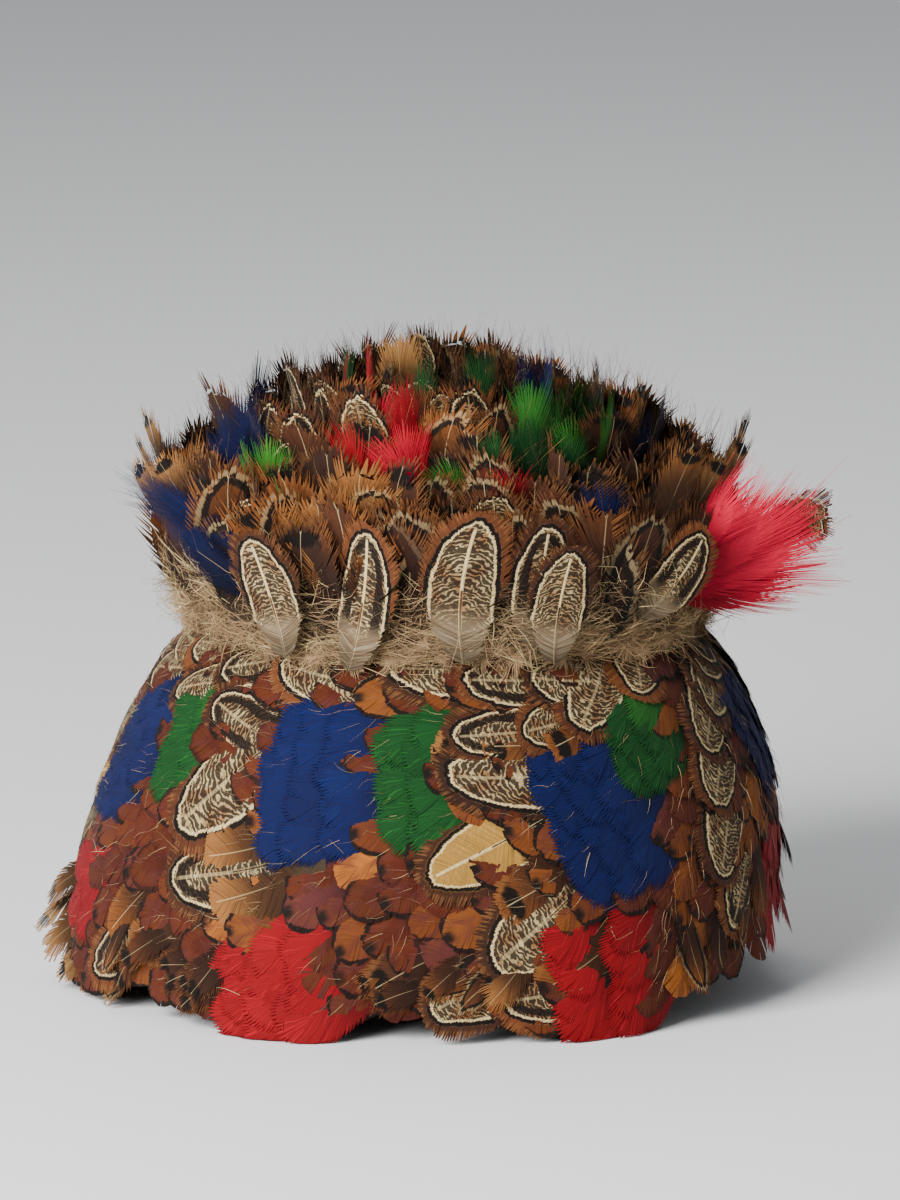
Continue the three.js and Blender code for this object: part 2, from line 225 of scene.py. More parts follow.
# Shader groups that all feathers share
def fill_vane(tree, given, put):
    """Places on a vane: across from the quill, along it, rings round its tip, and streaks along its barbs."""
    parts = node(tree, "SeparateXYZ", {0: given["Vane"]})
    u, v = parts.outputs[0], parts.outputs[1]
    signed = calc(tree, "MULTIPLY_ADD", u, 2.0, -1.0)
    side = calc(tree, "ABSOLUTE", signed)
    spread = calc(tree, "MULTIPLY", given["Seed"], 61.0)
    barb = given["Barb"]
    wobble = noise(
        tree,
        joined(tree, calc(tree, "MULTIPLY", signed, 1.2), calc(tree, "MULTIPLY", barb, 3.0), spread),
        2.2,
    )
    jag = noise(tree, joined(tree, 0.0, calc(tree, "MULTIPLY", barb, 60.0), spread), 1.0, 1.0)
    past = calc(tree, "MAXIMUM", calc(tree, "DIVIDE", calc(tree, "SUBTRACT", v, 0.48), 0.52), 0.0)
    far = calc(
        tree, "SQRT", calc(tree, "ADD", calc(tree, "POWER", side, 2.0), calc(tree, "POWER", past, 2.0))
    )
    shaken = calc(tree, "MULTIPLY_ADD", calc(tree, "SUBTRACT", wobble, 0.5), 0.12, far)
    shaken = calc(tree, "MULTIPLY_ADD", calc(tree, "SUBTRACT", jag, 0.5), 0.07, shaken)
    fine = joined(tree, calc(tree, "MULTIPLY", signed, 0.9), calc(tree, "MULTIPLY", barb, 70.0), spread)
    tipward = calc(tree, "POWER", calc(tree, "MULTIPLY", past, 0.48), 2.0)
    slope = calc(tree, "SQRT", calc(tree, "ADD", calc(tree, "POWER", side, 2.0), tipward))
    rim = calc(
        tree,
        "MULTIPLY",
        calc(tree, "SUBTRACT", 1.0, shaken),
        calc(tree, "DIVIDE", far, calc(tree, "MAXIMUM", slope, 0.05)),
    )
    put("Rim", rim)
    put("Side", side)
    put("Along", v)
    put("Streak", noise(tree, fine, 1.0, 2.0))
    put("Patch", wobble)


def fill_wavy(tree, given, put):
    """Broken wavy bars across a vane."""
    parts = node(tree, "SeparateXYZ", {0: given["Vane"]})
    u, v = parts.outputs[0], parts.outputs[1]
    side = calc(tree, "ABSOLUTE", calc(tree, "MULTIPLY_ADD", u, 2.0, -1.0))
    spread = calc(tree, "MULTIPLY", given["Seed"], 83.0)
    at = joined(tree, calc(tree, "MULTIPLY", u, 8.0), calc(tree, "MULTIPLY", v, 20.0), spread)
    shake = noise(tree, at, 1.0, 2.0)
    bow = calc(tree, "MULTIPLY_ADD", calc(tree, "MULTIPLY", side, side), given["Bow"], v)
    phase = calc(tree, "MULTIPLY_ADD", bow, given["Count"], calc(tree, "MULTIPLY", shake, given["Shake"]))
    wave = calc(tree, "SINE", calc(tree, "MULTIPLY", phase, 6.2832))
    broken = noise(
        tree,
        joined(tree, calc(tree, "MULTIPLY", u, 17.0), calc(tree, "MULTIPLY", v, 55.0), spread),
        1.0,
        1.0,
    )
    mask = calc(tree, "ADD", wave, calc(tree, "MULTIPLY_ADD", broken, 2.4, -1.2))
    put("Bars", rise(tree, mask, -0.9, -0.2))


def feather_groups():
    vane_inputs = [("Vane", "Vector", (0, 0, 0)), ("Seed", "Float", 0.0)]
    place_inputs = [*vane_inputs, ("Barb", "Float", 0.0)]
    vane_outputs = [(label, "Float") for label in ("Side", "Along", "Rim", "Streak", "Patch")]
    wavy_inputs = [*vane_inputs, ("Count", "Float", 12.0), ("Shake", "Float", 1.6), ("Bow", "Float", 0.1)]
    groups = bpy.data.node_groups
    if "Vane places" not in groups:
        new_group("Vane places", place_inputs, vane_outputs, fill_vane)
        new_group("Wavy bars", wavy_inputs, [("Bars", "Float")], fill_wavy)
    return groups["Vane places"], groups["Wavy bars"]


def colour_of(name):
    return tuple(getattr(bpy.context.scene.feather_hat_colours, name))


def shade(colour, amount):
    return (*[c * amount for c in colour[:3]], 1.0)


def finish_material(tree, colour, height, roughness, bump, sheen=0.03):
    surface = node(
        tree, "BsdfPrincipled", {"Base Color": colour, "Specular IOR Level": 0.12, "Sheen Weight": sheen}
    )
    feed(tree, surface.inputs["Roughness"], roughness)
    surface.inputs["Sheen Roughness"].default_value = 0.5
    lift = node(tree, "Bump", {"Height": height, "Strength": bump, "Distance": 0.0004})
    feed(tree, surface.inputs["Normal"], lift.outputs[0])
    end = node(tree, "OutputMaterial")
    tree.links.new(surface.outputs[0], end.inputs[0])


def feather_material(name, paint, painted_shade_span):
    """A feather's material, darker low down from painted shade towards the foot. paint gives its colour from
    its places, seed and tint.
    """
    name += "_finish"
    if name in bpy.data.materials:
        return bpy.data.materials[name]
    made = bpy.data.materials.new(name)
    made.use_nodes = True
    tree = made.node_tree
    tree.nodes.clear()
    places, wavy = feather_groups()
    vane = node(tree, "UVMap", uv_map="vane").outputs[0]
    seed = node(tree, "Attribute", attribute_name="seed").outputs["Fac"]
    tint = node(tree, "Attribute", attribute_name="tint").outputs["Fac"]
    barb = node(tree, "Attribute", attribute_name="barb").outputs["Fac"]
    at = placed(tree, places, Vane=vane, Seed=seed, Barb=barb)
    bars = lambda **values: placed(tree, wavy, Vane=vane, Seed=seed, **values)["Bars"]
    colour = paint(tree, at, seed, tint, bars)
    # Barb streaks, times painted shade that darkens the vane towards its foot
    streak_and_painted_shade = calc(tree, "MULTIPLY_ADD", at["Streak"], 1.3, 0.35)
    streak_and_painted_shade = calc(
        tree, "MULTIPLY", streak_and_painted_shade, calc(tree, "MULTIPLY_ADD", rise(tree, at["Along"], *painted_shade_span), 0.75, 0.25)
    )
    colour = blend(tree, 0.85, colour, blend(tree, 1.0, colour, joined(tree, streak_and_painted_shade, streak_and_painted_shade, streak_and_painted_shade), "MULTIPLY"))
    rough = calc(tree, "MULTIPLY_ADD", at["Streak"], 0.25, 0.68)
    finish_material(tree, colour, at["Streak"], rough, 0.55)
    return made


def paint_rust(tree, at, seed, tint, bars):
    brown, rust, golden = colour_of("brown"), colour_of("rust"), colour_of("golden")
    plum = tone(72, 32, 30)
    stops = [
        (0, plum),
        (0.3, shade(rust, 0.62)),
        (0.55, shade(rust, 0.9)),
        (0.85, golden),
        (1, tone(138, 78, 28)),
    ]
    colour = ramp(tree, tint, stops)
    heart = band(tree, at["Rim"], 0.1, 0.55, 0.1)
    colour = blend(tree, calc(tree, "MULTIPLY", heart, 0.22), colour, shade(golden, 0.6))
    # Painted sheen: plum patches stand in for the purple sheen that some rust feathers show
    sheen = calc(tree, "MULTIPLY", rise(tree, at["Patch"], 0.4, 0.7), 0.55)
    colour = blend(tree, sheen, colour, shade(plum, 0.9))
    edge = calc(tree, "SUBTRACT", 1.0, rise(tree, at["Rim"], 0.03, 0.06))
    edge = calc(tree, "MULTIPLY", edge, rise(tree, seed, 0.2, 0.4))
    open_tip = calc(tree, "SUBTRACT", 1.0, rise(tree, at["Side"], 0.08, 0.3))
    notch = calc(tree, "MULTIPLY", rise(tree, at["Along"], 0.88, 0.95), open_tip)
    notch = calc(tree, "MULTIPLY", notch, rise(tree, seed, 0.5, 0.55))
    colour = blend(tree, calc(tree, "MAXIMUM", edge, notch), colour, shade(brown, 0.7))
    return downy_foot(tree, at, colour, 0.1, 0.4, 0.5)


def downy_foot(tree, at, colour, low, high, amount):
    foot = calc(tree, "SUBTRACT", 1.0, rise(tree, at["Along"], low, high))
    return blend(tree, foot, colour, shade(colour_of("down"), amount))


def quill_line(tree, at, colour, half, ends, amount=1.0):
    """A pale line along the quill, up to a distance from the rim."""
    line = calc(tree, "SUBTRACT", 1.0, rise(tree, at["Side"], half * 0.6, half))
    line = calc(tree, "MULTIPLY", line, rise(tree, at["Rim"], ends, ends + 0.1))
    return blend(tree, calc(tree, "MULTIPLY", line, amount), colour, colour_of("cream"))


def paint_mottled(tree, at, seed, tint, bars):
    """Cream rings and wavy bars. A low tint is barred all over, a middle one ringed, a high one buff."""
    brown, cream = colour_of("brown"), colour_of("cream")
    margin = ramp(tree, seed, [(0, tone(40, 22, 13)), (0.5, tone(62, 32, 17)), (1, tone(92, 50, 24))])
    fine = calc(tree, "MULTIPLY", bars(Count=27.0, Shake=3.2, Bow=0.25), 0.92)
    ground = blend(tree, rise(tree, at["Patch"], 0.3, 0.7), shade(cream, 0.72), tone(112, 78, 46))
    inner = blend(tree, fine, ground, shade(brown, 0.9))
    ringed = band(tree, tint, 0.4, 0.8, 0.01)
    gap = calc(tree, "MULTIPLY", band(tree, at["Rim"], 0.42, 0.68, 0.02), ringed)
    inner = blend(tree, calc(tree, "MULTIPLY", gap, 0.95), inner, shade(brown, 0.6))
    buff = calc(tree, "MULTIPLY", rise(tree, tint, 0.78, 0.82), 0.9)
    inner = blend(tree, buff, inner, tone(140, 104, 44))
    colour = blend(tree, band(tree, at["Rim"], 0.285, 0.35, 0.012), inner, shade(cream, 0.88))
    colour = blend(tree, band(tree, at["Rim"], 0.17, 0.28, 0.02), colour, shade(brown, 0.4))
    colour = blend(tree, calc(tree, "SUBTRACT", 1.0, rise(tree, at["Rim"], 0.15, 0.19)), colour, margin)
    pale = calc(tree, "SUBTRACT", 1.0, rise(tree, at["Rim"], 0.0, 0.1))
    pale = calc(tree, "MULTIPLY", pale, rise(tree, at["Streak"], 0.45, 0.6))
    colour = blend(tree, calc(tree, "MULTIPLY", pale, 0.5), colour, tone(112, 72, 38))
    fluffy = calc(tree, "ADD", band(tree, tint, 0.05, 0.15, 0.01), band(tree, tint, 0.45, 0.55, 0.01))
    white = ramp(tree, at["Streak"], [(0.4, shade(colour_of("down"), 0.45)), (0.72, tone(134, 120, 98))])
    fluff = blend(tree, fluffy, shade(brown, 0.8), white)
    colour = blend(
        tree,
        calc(
            tree,
            "SUBTRACT",
            1.0,
            rise(tree, calc(tree, "MULTIPLY_ADD", at["Streak"], 0.3, at["Along"]), 0.36, 0.56),
        ),
        colour,
        fluff,
    )
    quilled = calc(
        tree, "MAXIMUM", fluffy, calc(tree, "MULTIPLY_ADD", rise(tree, tint, 0.78, 0.82), 0.5, 0.3)
    )
    return quill_line(tree, at, colour, 0.045, 0.42, quilled)


def paint_tan(tree, at, seed, tint, bars):
    """Tan to golden feathers. Half have a black spot near the tip, some dark lines beside the quill."""
    brown, golden, cream = colour_of("brown"), colour_of("golden"), colour_of("cream")
    stops = [
        (0, shade(brown, 2.0)),
        (0.25, tone(50, 26, 14)),
        (0.5, tone(72, 38, 19)),
        (0.8, golden),
        (1, tone(162, 120, 68)),
    ]
    colour = ramp(tree, tint, stops)
    base = blend(tree, 0.7, colour, tone(46, 22, 12))
    colour = blend(tree, rise(tree, at["Along"], 0.55, 0.92), base, colour)
    lines = calc(tree, "MULTIPLY", rise(tree, at["Streak"], 0.48, 0.6), 0.6)
    colour = blend(tree, lines, colour, shade(brown, 1.3))
    away = calc(tree, "DIVIDE", calc(tree, "SUBTRACT", at["Along"], 0.87), 0.065)
    blot = calc(
        tree,
        "ADD",
        calc(tree, "POWER", away, 2.0),
        calc(tree, "POWER", calc(tree, "DIVIDE", at["Side"], 0.6), 2.0),
    )
    blot = calc(tree, "ADD", blot, calc(tree, "MULTIPLY_ADD", at["Streak"], 3.0, -1.5))
    spot = calc(
        tree,
        "MULTIPLY",
        calc(tree, "SUBTRACT", 1.0, rise(tree, blot, 0.7, 1.2)),
        rise(tree, seed, 0.5, 0.52),
    )
    barred = calc(tree, "SUBTRACT", 1.0, rise(tree, seed, 0.2, 0.22))
    stripe = calc(tree, "MULTIPLY", band(tree, at["Rim"], 0.3, 0.5, 0.03), barred)
    pale = calc(tree, "MULTIPLY", band(tree, at["Rim"], 0.16, 0.3, 0.03), barred)
    colour = blend(tree, stripe, colour, shade(brown, 0.7))
    colour = blend(tree, calc(tree, "MULTIPLY", pale, 0.25), colour, cream)
    colour = blend(tree, spot, colour, shade(brown, 0.4))
    hair = calc(tree, "SUBTRACT", 1.0, rise(tree, at["Rim"], 0.0, 0.16))
    colour = blend(tree, calc(tree, "MULTIPLY", hair, 0.25), colour, tone(136, 88, 44))
    colour = quill_line(tree, at, colour, 0.02, 0.2, 0.5)
    return downy_foot(tree, at, colour, 0.1, 0.35, 0.3)


def paint_dyed(name, pale):
    def paint(tree, at, seed, tint, bars):
        dye = colour_of(name)
        colour = ramp(tree, tint, [(0, shade(dye, 0.45)), (0.5, dye), (1, pale)])
        light = calc(tree, "MULTIPLY", rise(tree, at["Streak"], 0.55, 0.8), 0.2)
        return blend(tree, light, colour, pale)

    return paint


def paint_down(tree, at, seed, tint, bars):
    down = colour_of("down")
    return ramp(
        tree,
        tint,
        [(0, shade(down, 0.4)), (0.5, shade(down, 0.85)), (0.8, shade(down, 1.3)), (1, colour_of("cream"))],
    )


# Each finish's painter, and the span along the vane over which its painted shade at the foot gives way to
# full colour
MATERIALS = {
    "rust_feather": (paint_rust, (0.35, 0.8)),
    "mottled_feather": (paint_mottled, (0.0, 0.3)),
    "tan_feather": (paint_tan, (0.4, 0.95)),
    "blue_feather": (paint_dyed("blue", tone(24, 38, 84)), (0.4, 0.85)),
    "green_feather": (paint_dyed("green", tone(58, 130, 34)), (0.4, 0.85)),
    "red_feather": (paint_dyed("red", tone(222, 26, 62)), (0.3, 0.8)),
    "down": (paint_down, (-0.4, 0.4)),
}


def felt_material():
    if "felt_finish" in bpy.data.materials:
        return bpy.data.materials["felt_finish"]
    made = bpy.data.materials.new("felt_finish")
    made.use_nodes = True
    tree = made.node_tree
    tree.nodes.clear()
    place = node(tree, "TexCoord").outputs["Object"]
    mat = noise(tree, place, 900.0, 4.0)
    cloud = noise(tree, place, 30.0, 2.0)
    felt = colour_of("felt")
    colour = ramp(
        tree,
        calc(tree, "MULTIPLY_ADD", mat, 0.6, calc(tree, "MULTIPLY", cloud, 0.4)),
        [(0.3, shade(felt, 0.6)), (0.7, shade(felt, 1.5))],
    )
    finish_material(tree, colour, mat, 0.92, 0.5, 0.1)
    return made


# Feathers as arrays: x across a feather, y along it and z off its face, in metres
def outline(border, wide, point, foot, grip=0.93):
    """Where barbs start on the quill and end on the outline, for places from the foot, 0, to the tip, 1."""
    climb = np.minimum(border / 0.45, 1)
    turn = np.clip((border - 0.45) / 0.55, 0, 1) * math.pi / 2
    edge_x = np.where(border < 0.45, foot + (1 - foot) * np.sin(climb * math.pi / 2), np.cos(turn) ** point)
    edge_y = np.where(border < 0.45, 0.06 + (wide - 0.06) * climb, wide + (1 - wide) * np.sin(turn))
    return grip * border**0.92, edge_x, edge_y


def barbs(strips, stations, keep, stretch, sway, lift, shape):
    """Strips that run from the quill outwards through these stations, as places, map places and faces."""
    border = np.linspace(0, 1, strips + 1)
    root, edge_x, edge_y = outline(border, *shape)
    reach = stations * (1 + stretch[..., None] * stations**2)

    def curve(b, f):
        return edge_x[b][:, None] * f, root[b][:, None] + (edge_y[b] - root[b])[:, None] * f**1.25

    low, high = np.arange(strips), np.arange(1, strips + 1)
    (lx, ly), (hx, hy) = curve(low, reach), curve(high, reach)
    mx, my, dx, dy = (lx + hx) / 2, (ly + hy) / 2, (hx - lx) / 2 * keep, (hy - ly) / 2 * keep
    my = my + sway[..., None] * reach**2
    x, y = np.stack([mx - dx, mx + dx], -1), np.stack([my - dy, my + dy], -1)
    flat = np.broadcast_to(stations, reach.shape)
    (lx, ly), (hx, hy) = curve(low, flat), curve(high, flat)
    rise_by = (lift[..., None] * stations)[..., None] + 0 * x
    own = np.stack([border[low][:, None] + 0 * lx, border[high][:, None] + 0 * hx], -1)
    return x, y, rise_by, np.stack([lx, hx], -1), np.stack([ly, hy], -1), own


def vanes(
    rng,
    length,
    width,
    strips=12,
    fringe=0,
    web=0.8,
    ragged=0.03,
    comb=0.8,
    cup=0.12,
    shape=(0.62, 1.0, 0.3),
    quill=False,
):
    """Many feathers at once: barbs from the quill to the outline, split at their ends where there's a fringe.

    shape is where a feather is widest, how blunt its tip is, how wide its foot is and how far up its last
    barbs start."""
    count = len(length)
    size = (count, 2, strips)
    stretch = rng.normal(-0.3 * ragged, ragged, size)
    sway = rng.normal(0, 0.3 * ragged + 0.003, size)
    lift = rng.normal(0, 0.0002, size)
    layers = []
    if fringe:
        layers.append(
            (strips, np.array([0, 0.6 * web, web]), np.array([1, 1.08, 1.04]), 0 * stretch, sway, lift)
        )
        apart = lambda value, more: np.repeat(value, fringe, 2) + rng.normal(
            0, more, (count, 2, strips * fringe)
        )
        ends = (
            strips * fringe, np.array([web - 0.03, (1 + web) / 2, 1]), np.array([1, (1 + comb) / 2, comb])
        )
        layers.append((*ends, apart(stretch, 0.8 * ragged), apart(sway, 0.2 * ragged), apart(lift, 0.0001)))
    else:
        layers.append((strips, np.array([0, 0.6, 1]), np.array([1, 1.06, comb]), stretch, sway, lift))
    half, tall = (width / 2).reshape(-1, 1, 1, 1, 1), length.reshape(-1, 1, 1, 1, 1)
    sign = np.array([-1, 1]).reshape(1, 2, 1, 1, 1)
    places, maps, owns, faces, start = [], [], [], [], 0
    for number, stations, keep, *shake in layers:
        x, y, up, u, v, own = barbs(number, stations, keep, *shake, shape)
        place = np.stack([sign * x * half, y * tall, up - cup * half * x**2], -1)
        places.append(place.reshape(count, -1, 3))
        maps.append(np.stack([0.5 + 0.5 * sign * u, v + 0 * u], -1).reshape(count, -1, 2))
        owns.append((own + 0 * u).reshape(count, -1))
        index = start + np.arange(2 * number * len(stations) * 2).reshape(2, number, len(stations), 2)
        for s in range(2):
            a, b = index[s, :, :-1, 0], index[s, :, 1:, 0]
            c, d = index[s, :, 1:, 1], index[s, :, :-1, 1]
            faces.append(np.stack([a, b, c, d] if s else [d, c, b, a], -1).reshape(-1, 4))
        start = index.max() + 1
    place, uv, barb = np.concatenate(places, 1), np.concatenate(maps, 1), np.concatenate(owns, 1)
    bake = uv * [0.9, 1.0]
    if quill:
        steps = np.linspace(0, 0.86, 4)
        thick = 0.00038 * (1 - 0.8 * steps)
        spots = np.array([[[-1, 0, 0], [0, 0, 1], [1, 0, 0]]] * 4, float) * thick[:, None, None]
        spots = np.broadcast_to(spots, (count, 4, 3, 3)).copy()
        spots[..., 1] = steps[None, :, None] * length[:, None, None]
        spots[..., 2] += 0.0001
        stem = np.arange(12).reshape(4, 3) + start
        quads = [
            [
                stem[k, j], stem[k, j + 1], stem[k + 1, j + 1], stem[k + 1, j]
            ] for k in range(3) for j in range(2)
        ]
        faces.append(np.array(quads))
        place = np.concatenate([place, spots.reshape(count, 12, 3)], 1)
        line = np.stack([np.full((4, 3), 0.5), np.repeat(steps[:, None], 3, 1)], -1).reshape(1, 12, 2)
        uv = np.concatenate([uv, np.repeat(line, count, 0)], 1)
        own = np.stack(
            [np.tile([0.92, 0.95, 0.98], (4, 1)), np.repeat(steps[:, None], 3, 1)], -1
        ).reshape(1, 12, 2)
        bake = np.concatenate([bake, np.repeat(own, count, 0)], 1)
        barb = np.concatenate([barb, np.zeros((count, 12))], 1)
    return {
        "place": place,
        "uv": uv,
        "bake": bake,
        "barb": barb,
        "faces": np.concatenate(faces),
        "length": length,
    }


def hairs(rng, root, tip, thick, droop):
    """Thin curved hairs from root to tip, each a ribbon of three parts."""
    count = len(root)
    share = np.linspace(0, 1, 4)
    way = tip - root
    sag = rng.normal(0, 1, (count, 3)) * droop[:, None]
    line = root[:, None] + way[:, None] * share[:, None] + sag[:, None] * (4 * share * (1 - share))[:, None]
    line = line + rng.normal(0, 1, (count, 3))[:, None] * droop[:, None, None] * (share**2)[:, None] * 0.8
    across = np.cross(way, rng.normal(0, 1, (count, 3)))
    across /= np.linalg.norm(across, axis=1, keepdims=True) + 1e-9
    half = (thick[:, None] * (1 - 0.85 * share))[..., None] * across[:, None]
    place = np.stack([line - half, line + half], 2).reshape(count, 8, 3)
    u = np.tile([0.3, 0.7], 4)
    uv = np.stack([u, np.repeat(share, 2)], -1)[None].repeat(count, 0)
    faces = np.array([[2 * k, 2 * k + 1, 2 * k + 3, 2 * k + 2] for k in range(3)])
    barb = np.repeat(rng.random((count, 1)), 8, 1)
    return {
        "place": place,
        "uv": uv,
        "bake": uv,
        "barb": barb,
        "faces": faces,
        "length": np.linalg.norm(way, axis=1),
    }


def aimed(feathers, root, tip, facing, bow=0.0, sway=0.0, roll=0.0):
    """Feathers taken from their own plane to stand from root to tip, with their face towards facing."""
    way = tip - root
    long = np.linalg.norm(way, axis=1, keepdims=True)
    along = way / long
    face = facing - (facing * along).sum(1, keepdims=True) * along
    face /= np.linalg.norm(face, axis=1, keepdims=True)
    across = np.cross(face, along)
    column = lambda value: np.broadcast_to(np.asarray(value, float), (len(root),))[:, None]
    x, y, z = np.moveaxis(feathers["place"], -1, 0)
    share = y / long
    arch = 4 * share * (1 - share)
    c, s = np.cos(column(roll)), np.sin(column(roll))
    x, z = x * c - z * s, x * s + z * c
    x, z = x + column(sway) * arch, z + column(bow) * arch
    spread = lambda value, axis: value[..., None] * axis[:, None]
    feathers["place"] = root[:, None] + spread(x, across) + spread(y, along) + spread(z, face)
    return feathers


def tagged(rng, feathers, tint, spread=0.08):
    count = len(feathers["place"])
    feathers["seed"] = rng.random(count)
    feathers["tint"] = np.clip(
        np.broadcast_to(np.asarray(tint, float), (count,)) + rng.normal(0, spread, count), 0, 1
    )
    return feathers


def make_piece(name, batches, material, nodes=()):
    """One object from batches of feathers, with its maps, seeds and tints."""
    places, uvs, bakes, faces, seeds, tints, own = [], [], [], [], [], [], []
    total = sum(len(batch["place"]) for batch in batches)
    columns = math.ceil(math.sqrt(total * 1.6))
    rows = math.ceil(total / columns)
    start = first = 0
    for batch in batches:
        count, corners = batch["place"].shape[:2]
        number = first + np.arange(count)
        cell = np.stack([number % columns, number // columns], -1)[:, None]
        bakes.append(((cell + 0.04 + 0.92 * batch["bake"]) / [columns, rows]).reshape(-1, 2))
        places.append(batch["place"].reshape(-1, 3))
        uvs.append(batch["uv"].reshape(-1, 2))
        shift = start + corners * np.arange(count)[:, None, None]
        faces.append((batch["faces"][None] + shift).reshape(-1, 4))
        seeds.append(np.repeat(batch["seed"], corners))
        tints.append(np.repeat(batch["tint"], corners))
        own.append(batch["barb"].reshape(-1))
        start += count * corners
        first += count
    places, faces = np.concatenate(places), np.concatenate(faces)
    places[:, 2] = np.maximum(places[:, 2], FLOOR_GAP)
    mesh = bpy.data.meshes.new(name)
    mesh.from_pydata(places.tolist(), [], faces.tolist())
    loops = faces.reshape(-1)
    for label, values in (("vane", np.concatenate(uvs)), ("OFBake", np.concatenate(bakes))):
        layer = mesh.uv_layers.new(name=label)
        layer.data.foreach_set("uv", values[loops].reshape(-1).astype(np.float32))
    for label, values in (
        ("seed", np.concatenate(seeds)), ("tint", np.concatenate(tints)), ("barb", np.concatenate(own))
    ):
        held = mesh.attributes.new(label, "FLOAT", "POINT")
        held.data.foreach_set("value", values.astype(np.float32))
    mesh.shade_smooth()
    mesh.materials.append(feather_material(material, *MATERIALS[material]))
    piece = bpy.data.objects.new(name, mesh)
    bpy.context.scene.collection.objects.link(piece)
    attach(piece, "root")
    if nodes:
        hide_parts(*nodes)
    return piece


# The felt's outer face, read off the frame
def node_tree(*names):
    corners, faces = [], []
    for name in names:
        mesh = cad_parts[name].data
        faces += [[i + len(corners) for i in face.vertices] for face in mesh.polygons]
        corners += [corner.co.copy() for corner in mesh.vertices]
    return BVHTree.FromPolygons(corners, faces)


def brim_face(columns=120, rows=64):
    """Points of the brim's outer face, from the neck down to the edge, at each azimuth."""
    if "grid" in brim_face.__dict__:
        return brim_face.grid
    tree = node_tree("brim_felt", "shoulder_felt")
    centre = Vector((AXIS.x - 0.004, AXIS.y, 0.055))
    grid = []
    for column in range(columns):
        turn = math.tau * column / columns
        hits = []
        for lift in np.radians(np.linspace(44, -34, 196)):
            way = Vector(
                (math.sin(turn) * math.cos(lift), -math.cos(turn) * math.cos(lift), math.sin(lift))
            )
            hit = tree.ray_cast(centre + way * 0.4, -way, 0.325)[0]
            if hit is not None:
                hits.append(hit[:])
        hits = np.array(hits)
        steps = np.concatenate([[0], np.cumsum(np.linalg.norm(np.diff(hits, axis=0), axis=1))])
        even = np.linspace(0, steps[-1], rows)
        grid.append(np.stack([np.interp(even, steps, hits[:, k]) for k in range(3)], -1))
    grid = np.array(grid)
    for _ in range(3):
        grid = (np.roll(grid, 1, 0) + 2 * grid + np.roll(grid, -1, 0)) / 4
        grid[:, 1:-1] = (grid[:, :-2] + 2 * grid[:, 1:-1] + grid[:, 2:]) / 4
    along = np.gradient(grid, axis=1)
    across = np.roll(grid, -1, 0) - np.roll(grid, 1, 0)
    normal = np.cross(along, across)
    normal /= np.linalg.norm(normal, axis=-1, keepdims=True)
    long = np.linalg.norm(np.diff(grid, axis=1), axis=-1).sum(1)
    brim_face.grid = (grid, normal, long)
    return brim_face.grid


def read_grid(values, azimuth, share):
    columns, rows = values.shape[:2]
    a = (azimuth / 360 * columns) % columns
    b = np.clip(share, 0, 1) * (rows - 1)
    a0, b0 = np.floor(a).astype(int) % columns, np.minimum(np.floor(b).astype(int), rows - 2)
    a1, fa, fb = (a0 + 1) % columns, (a - np.floor(a))[..., None], (b - b0)[..., None]
    near = values[a0, b0] * (1 - fb) + values[a0, b0 + 1] * fb
    return near * (1 - fa) + (values[a1, b0] * (1 - fb) + values[a1, b0 + 1] * fb) * fa


def on_brim(azimuth, share, height):
    """A point off the brim's face. Past the neck or the edge it goes straight on."""
    grid, normal, long = brim_face()
    place = read_grid(grid, azimuth, share)
    past = (share - np.clip(share, 0, 1))[..., None]
    ahead = read_grid(grid, azimuth, np.clip(share, 0.03, 1)) - read_grid(
        grid, azimuth, np.clip(share, 0.03, 1) - 0.03
    )
    out = read_grid(normal, azimuth, share)
    place = place + ahead / 0.03 * past + out * height[..., None]
    place[..., 2] = np.maximum(place[..., 2], 0.0004)
    return place


def brim_size(azimuth, share):
    grid, _, long = brim_face()
    columns = len(long)
    place = read_grid(grid, azimuth, np.clip(share, 0, 1))
    radius = np.hypot(place[..., 0] - AXIS.x, place[..., 1] - AXIS.y)
    return radius, long[(azimuth / 360 * columns).astype(int) % columns]


def edge_flare(feathers):
    """How far each feather lifts where it passes the edge, from 0 to 1."""
    count = len(feathers["length"])
    return np.random.default_rng(count).uniform(0, 1, count)


def laid(feathers, azimuth, share, heading, base, rise_by, curl=0.0, roll=0.04):
    """Feathers laid on the brim. azimuth and share give the point three quarters of the way along each."""
    radius, long = brim_size(azimuth, share)
    turn = np.radians(heading)
    seat = 0.75 * feathers["length"]
    foot_azimuth = azimuth + np.degrees(seat * np.cos(turn) / radius)
    foot_share = share - seat * np.sin(turn) / long
    x, y, z = np.moveaxis(feathers["place"], -1, 0)
    column = lambda value: np.broadcast_to(np.asarray(value, float), (len(x),))[:, None]
    part = y / feathers["length"][:, None]
    bend = column(curl) * feathers["length"][:, None] * part**2
    left = y * np.cos(turn)[:, None] - (x + bend) * np.sin(turn)[:, None]
    down = y * np.sin(turn)[:, None] + (x + bend) * np.cos(turn)[:, None]
    height = column(base) + column(rise_by) * np.clip(part, 0, 1.1) ** 1.3 + z + column(roll) * x
    at_azimuth = foot_azimuth[:, None] - np.degrees(left / radius[:, None])
    at_share = foot_share[:, None] + down / long[:, None]
    height = height + EDGE_FLARE * np.clip(at_share - EDGE_START, 0, 1) * edge_flare(feathers)[:, None]
    feathers["place"] = on_brim(at_azimuth, at_share, np.maximum(height, 0.0002))
    return feathers


def heading_at(azimuth, share):
    """Which way a flat feather points, in degrees below level, with its tip to the left."""
    side = (azimuth + 180) % 360 - 180
    right = np.exp(-(((side - 65) / 42) ** 2))
    return 8 + 22 * np.clip(share, 0, 1) ** 1.4 + 32 * right


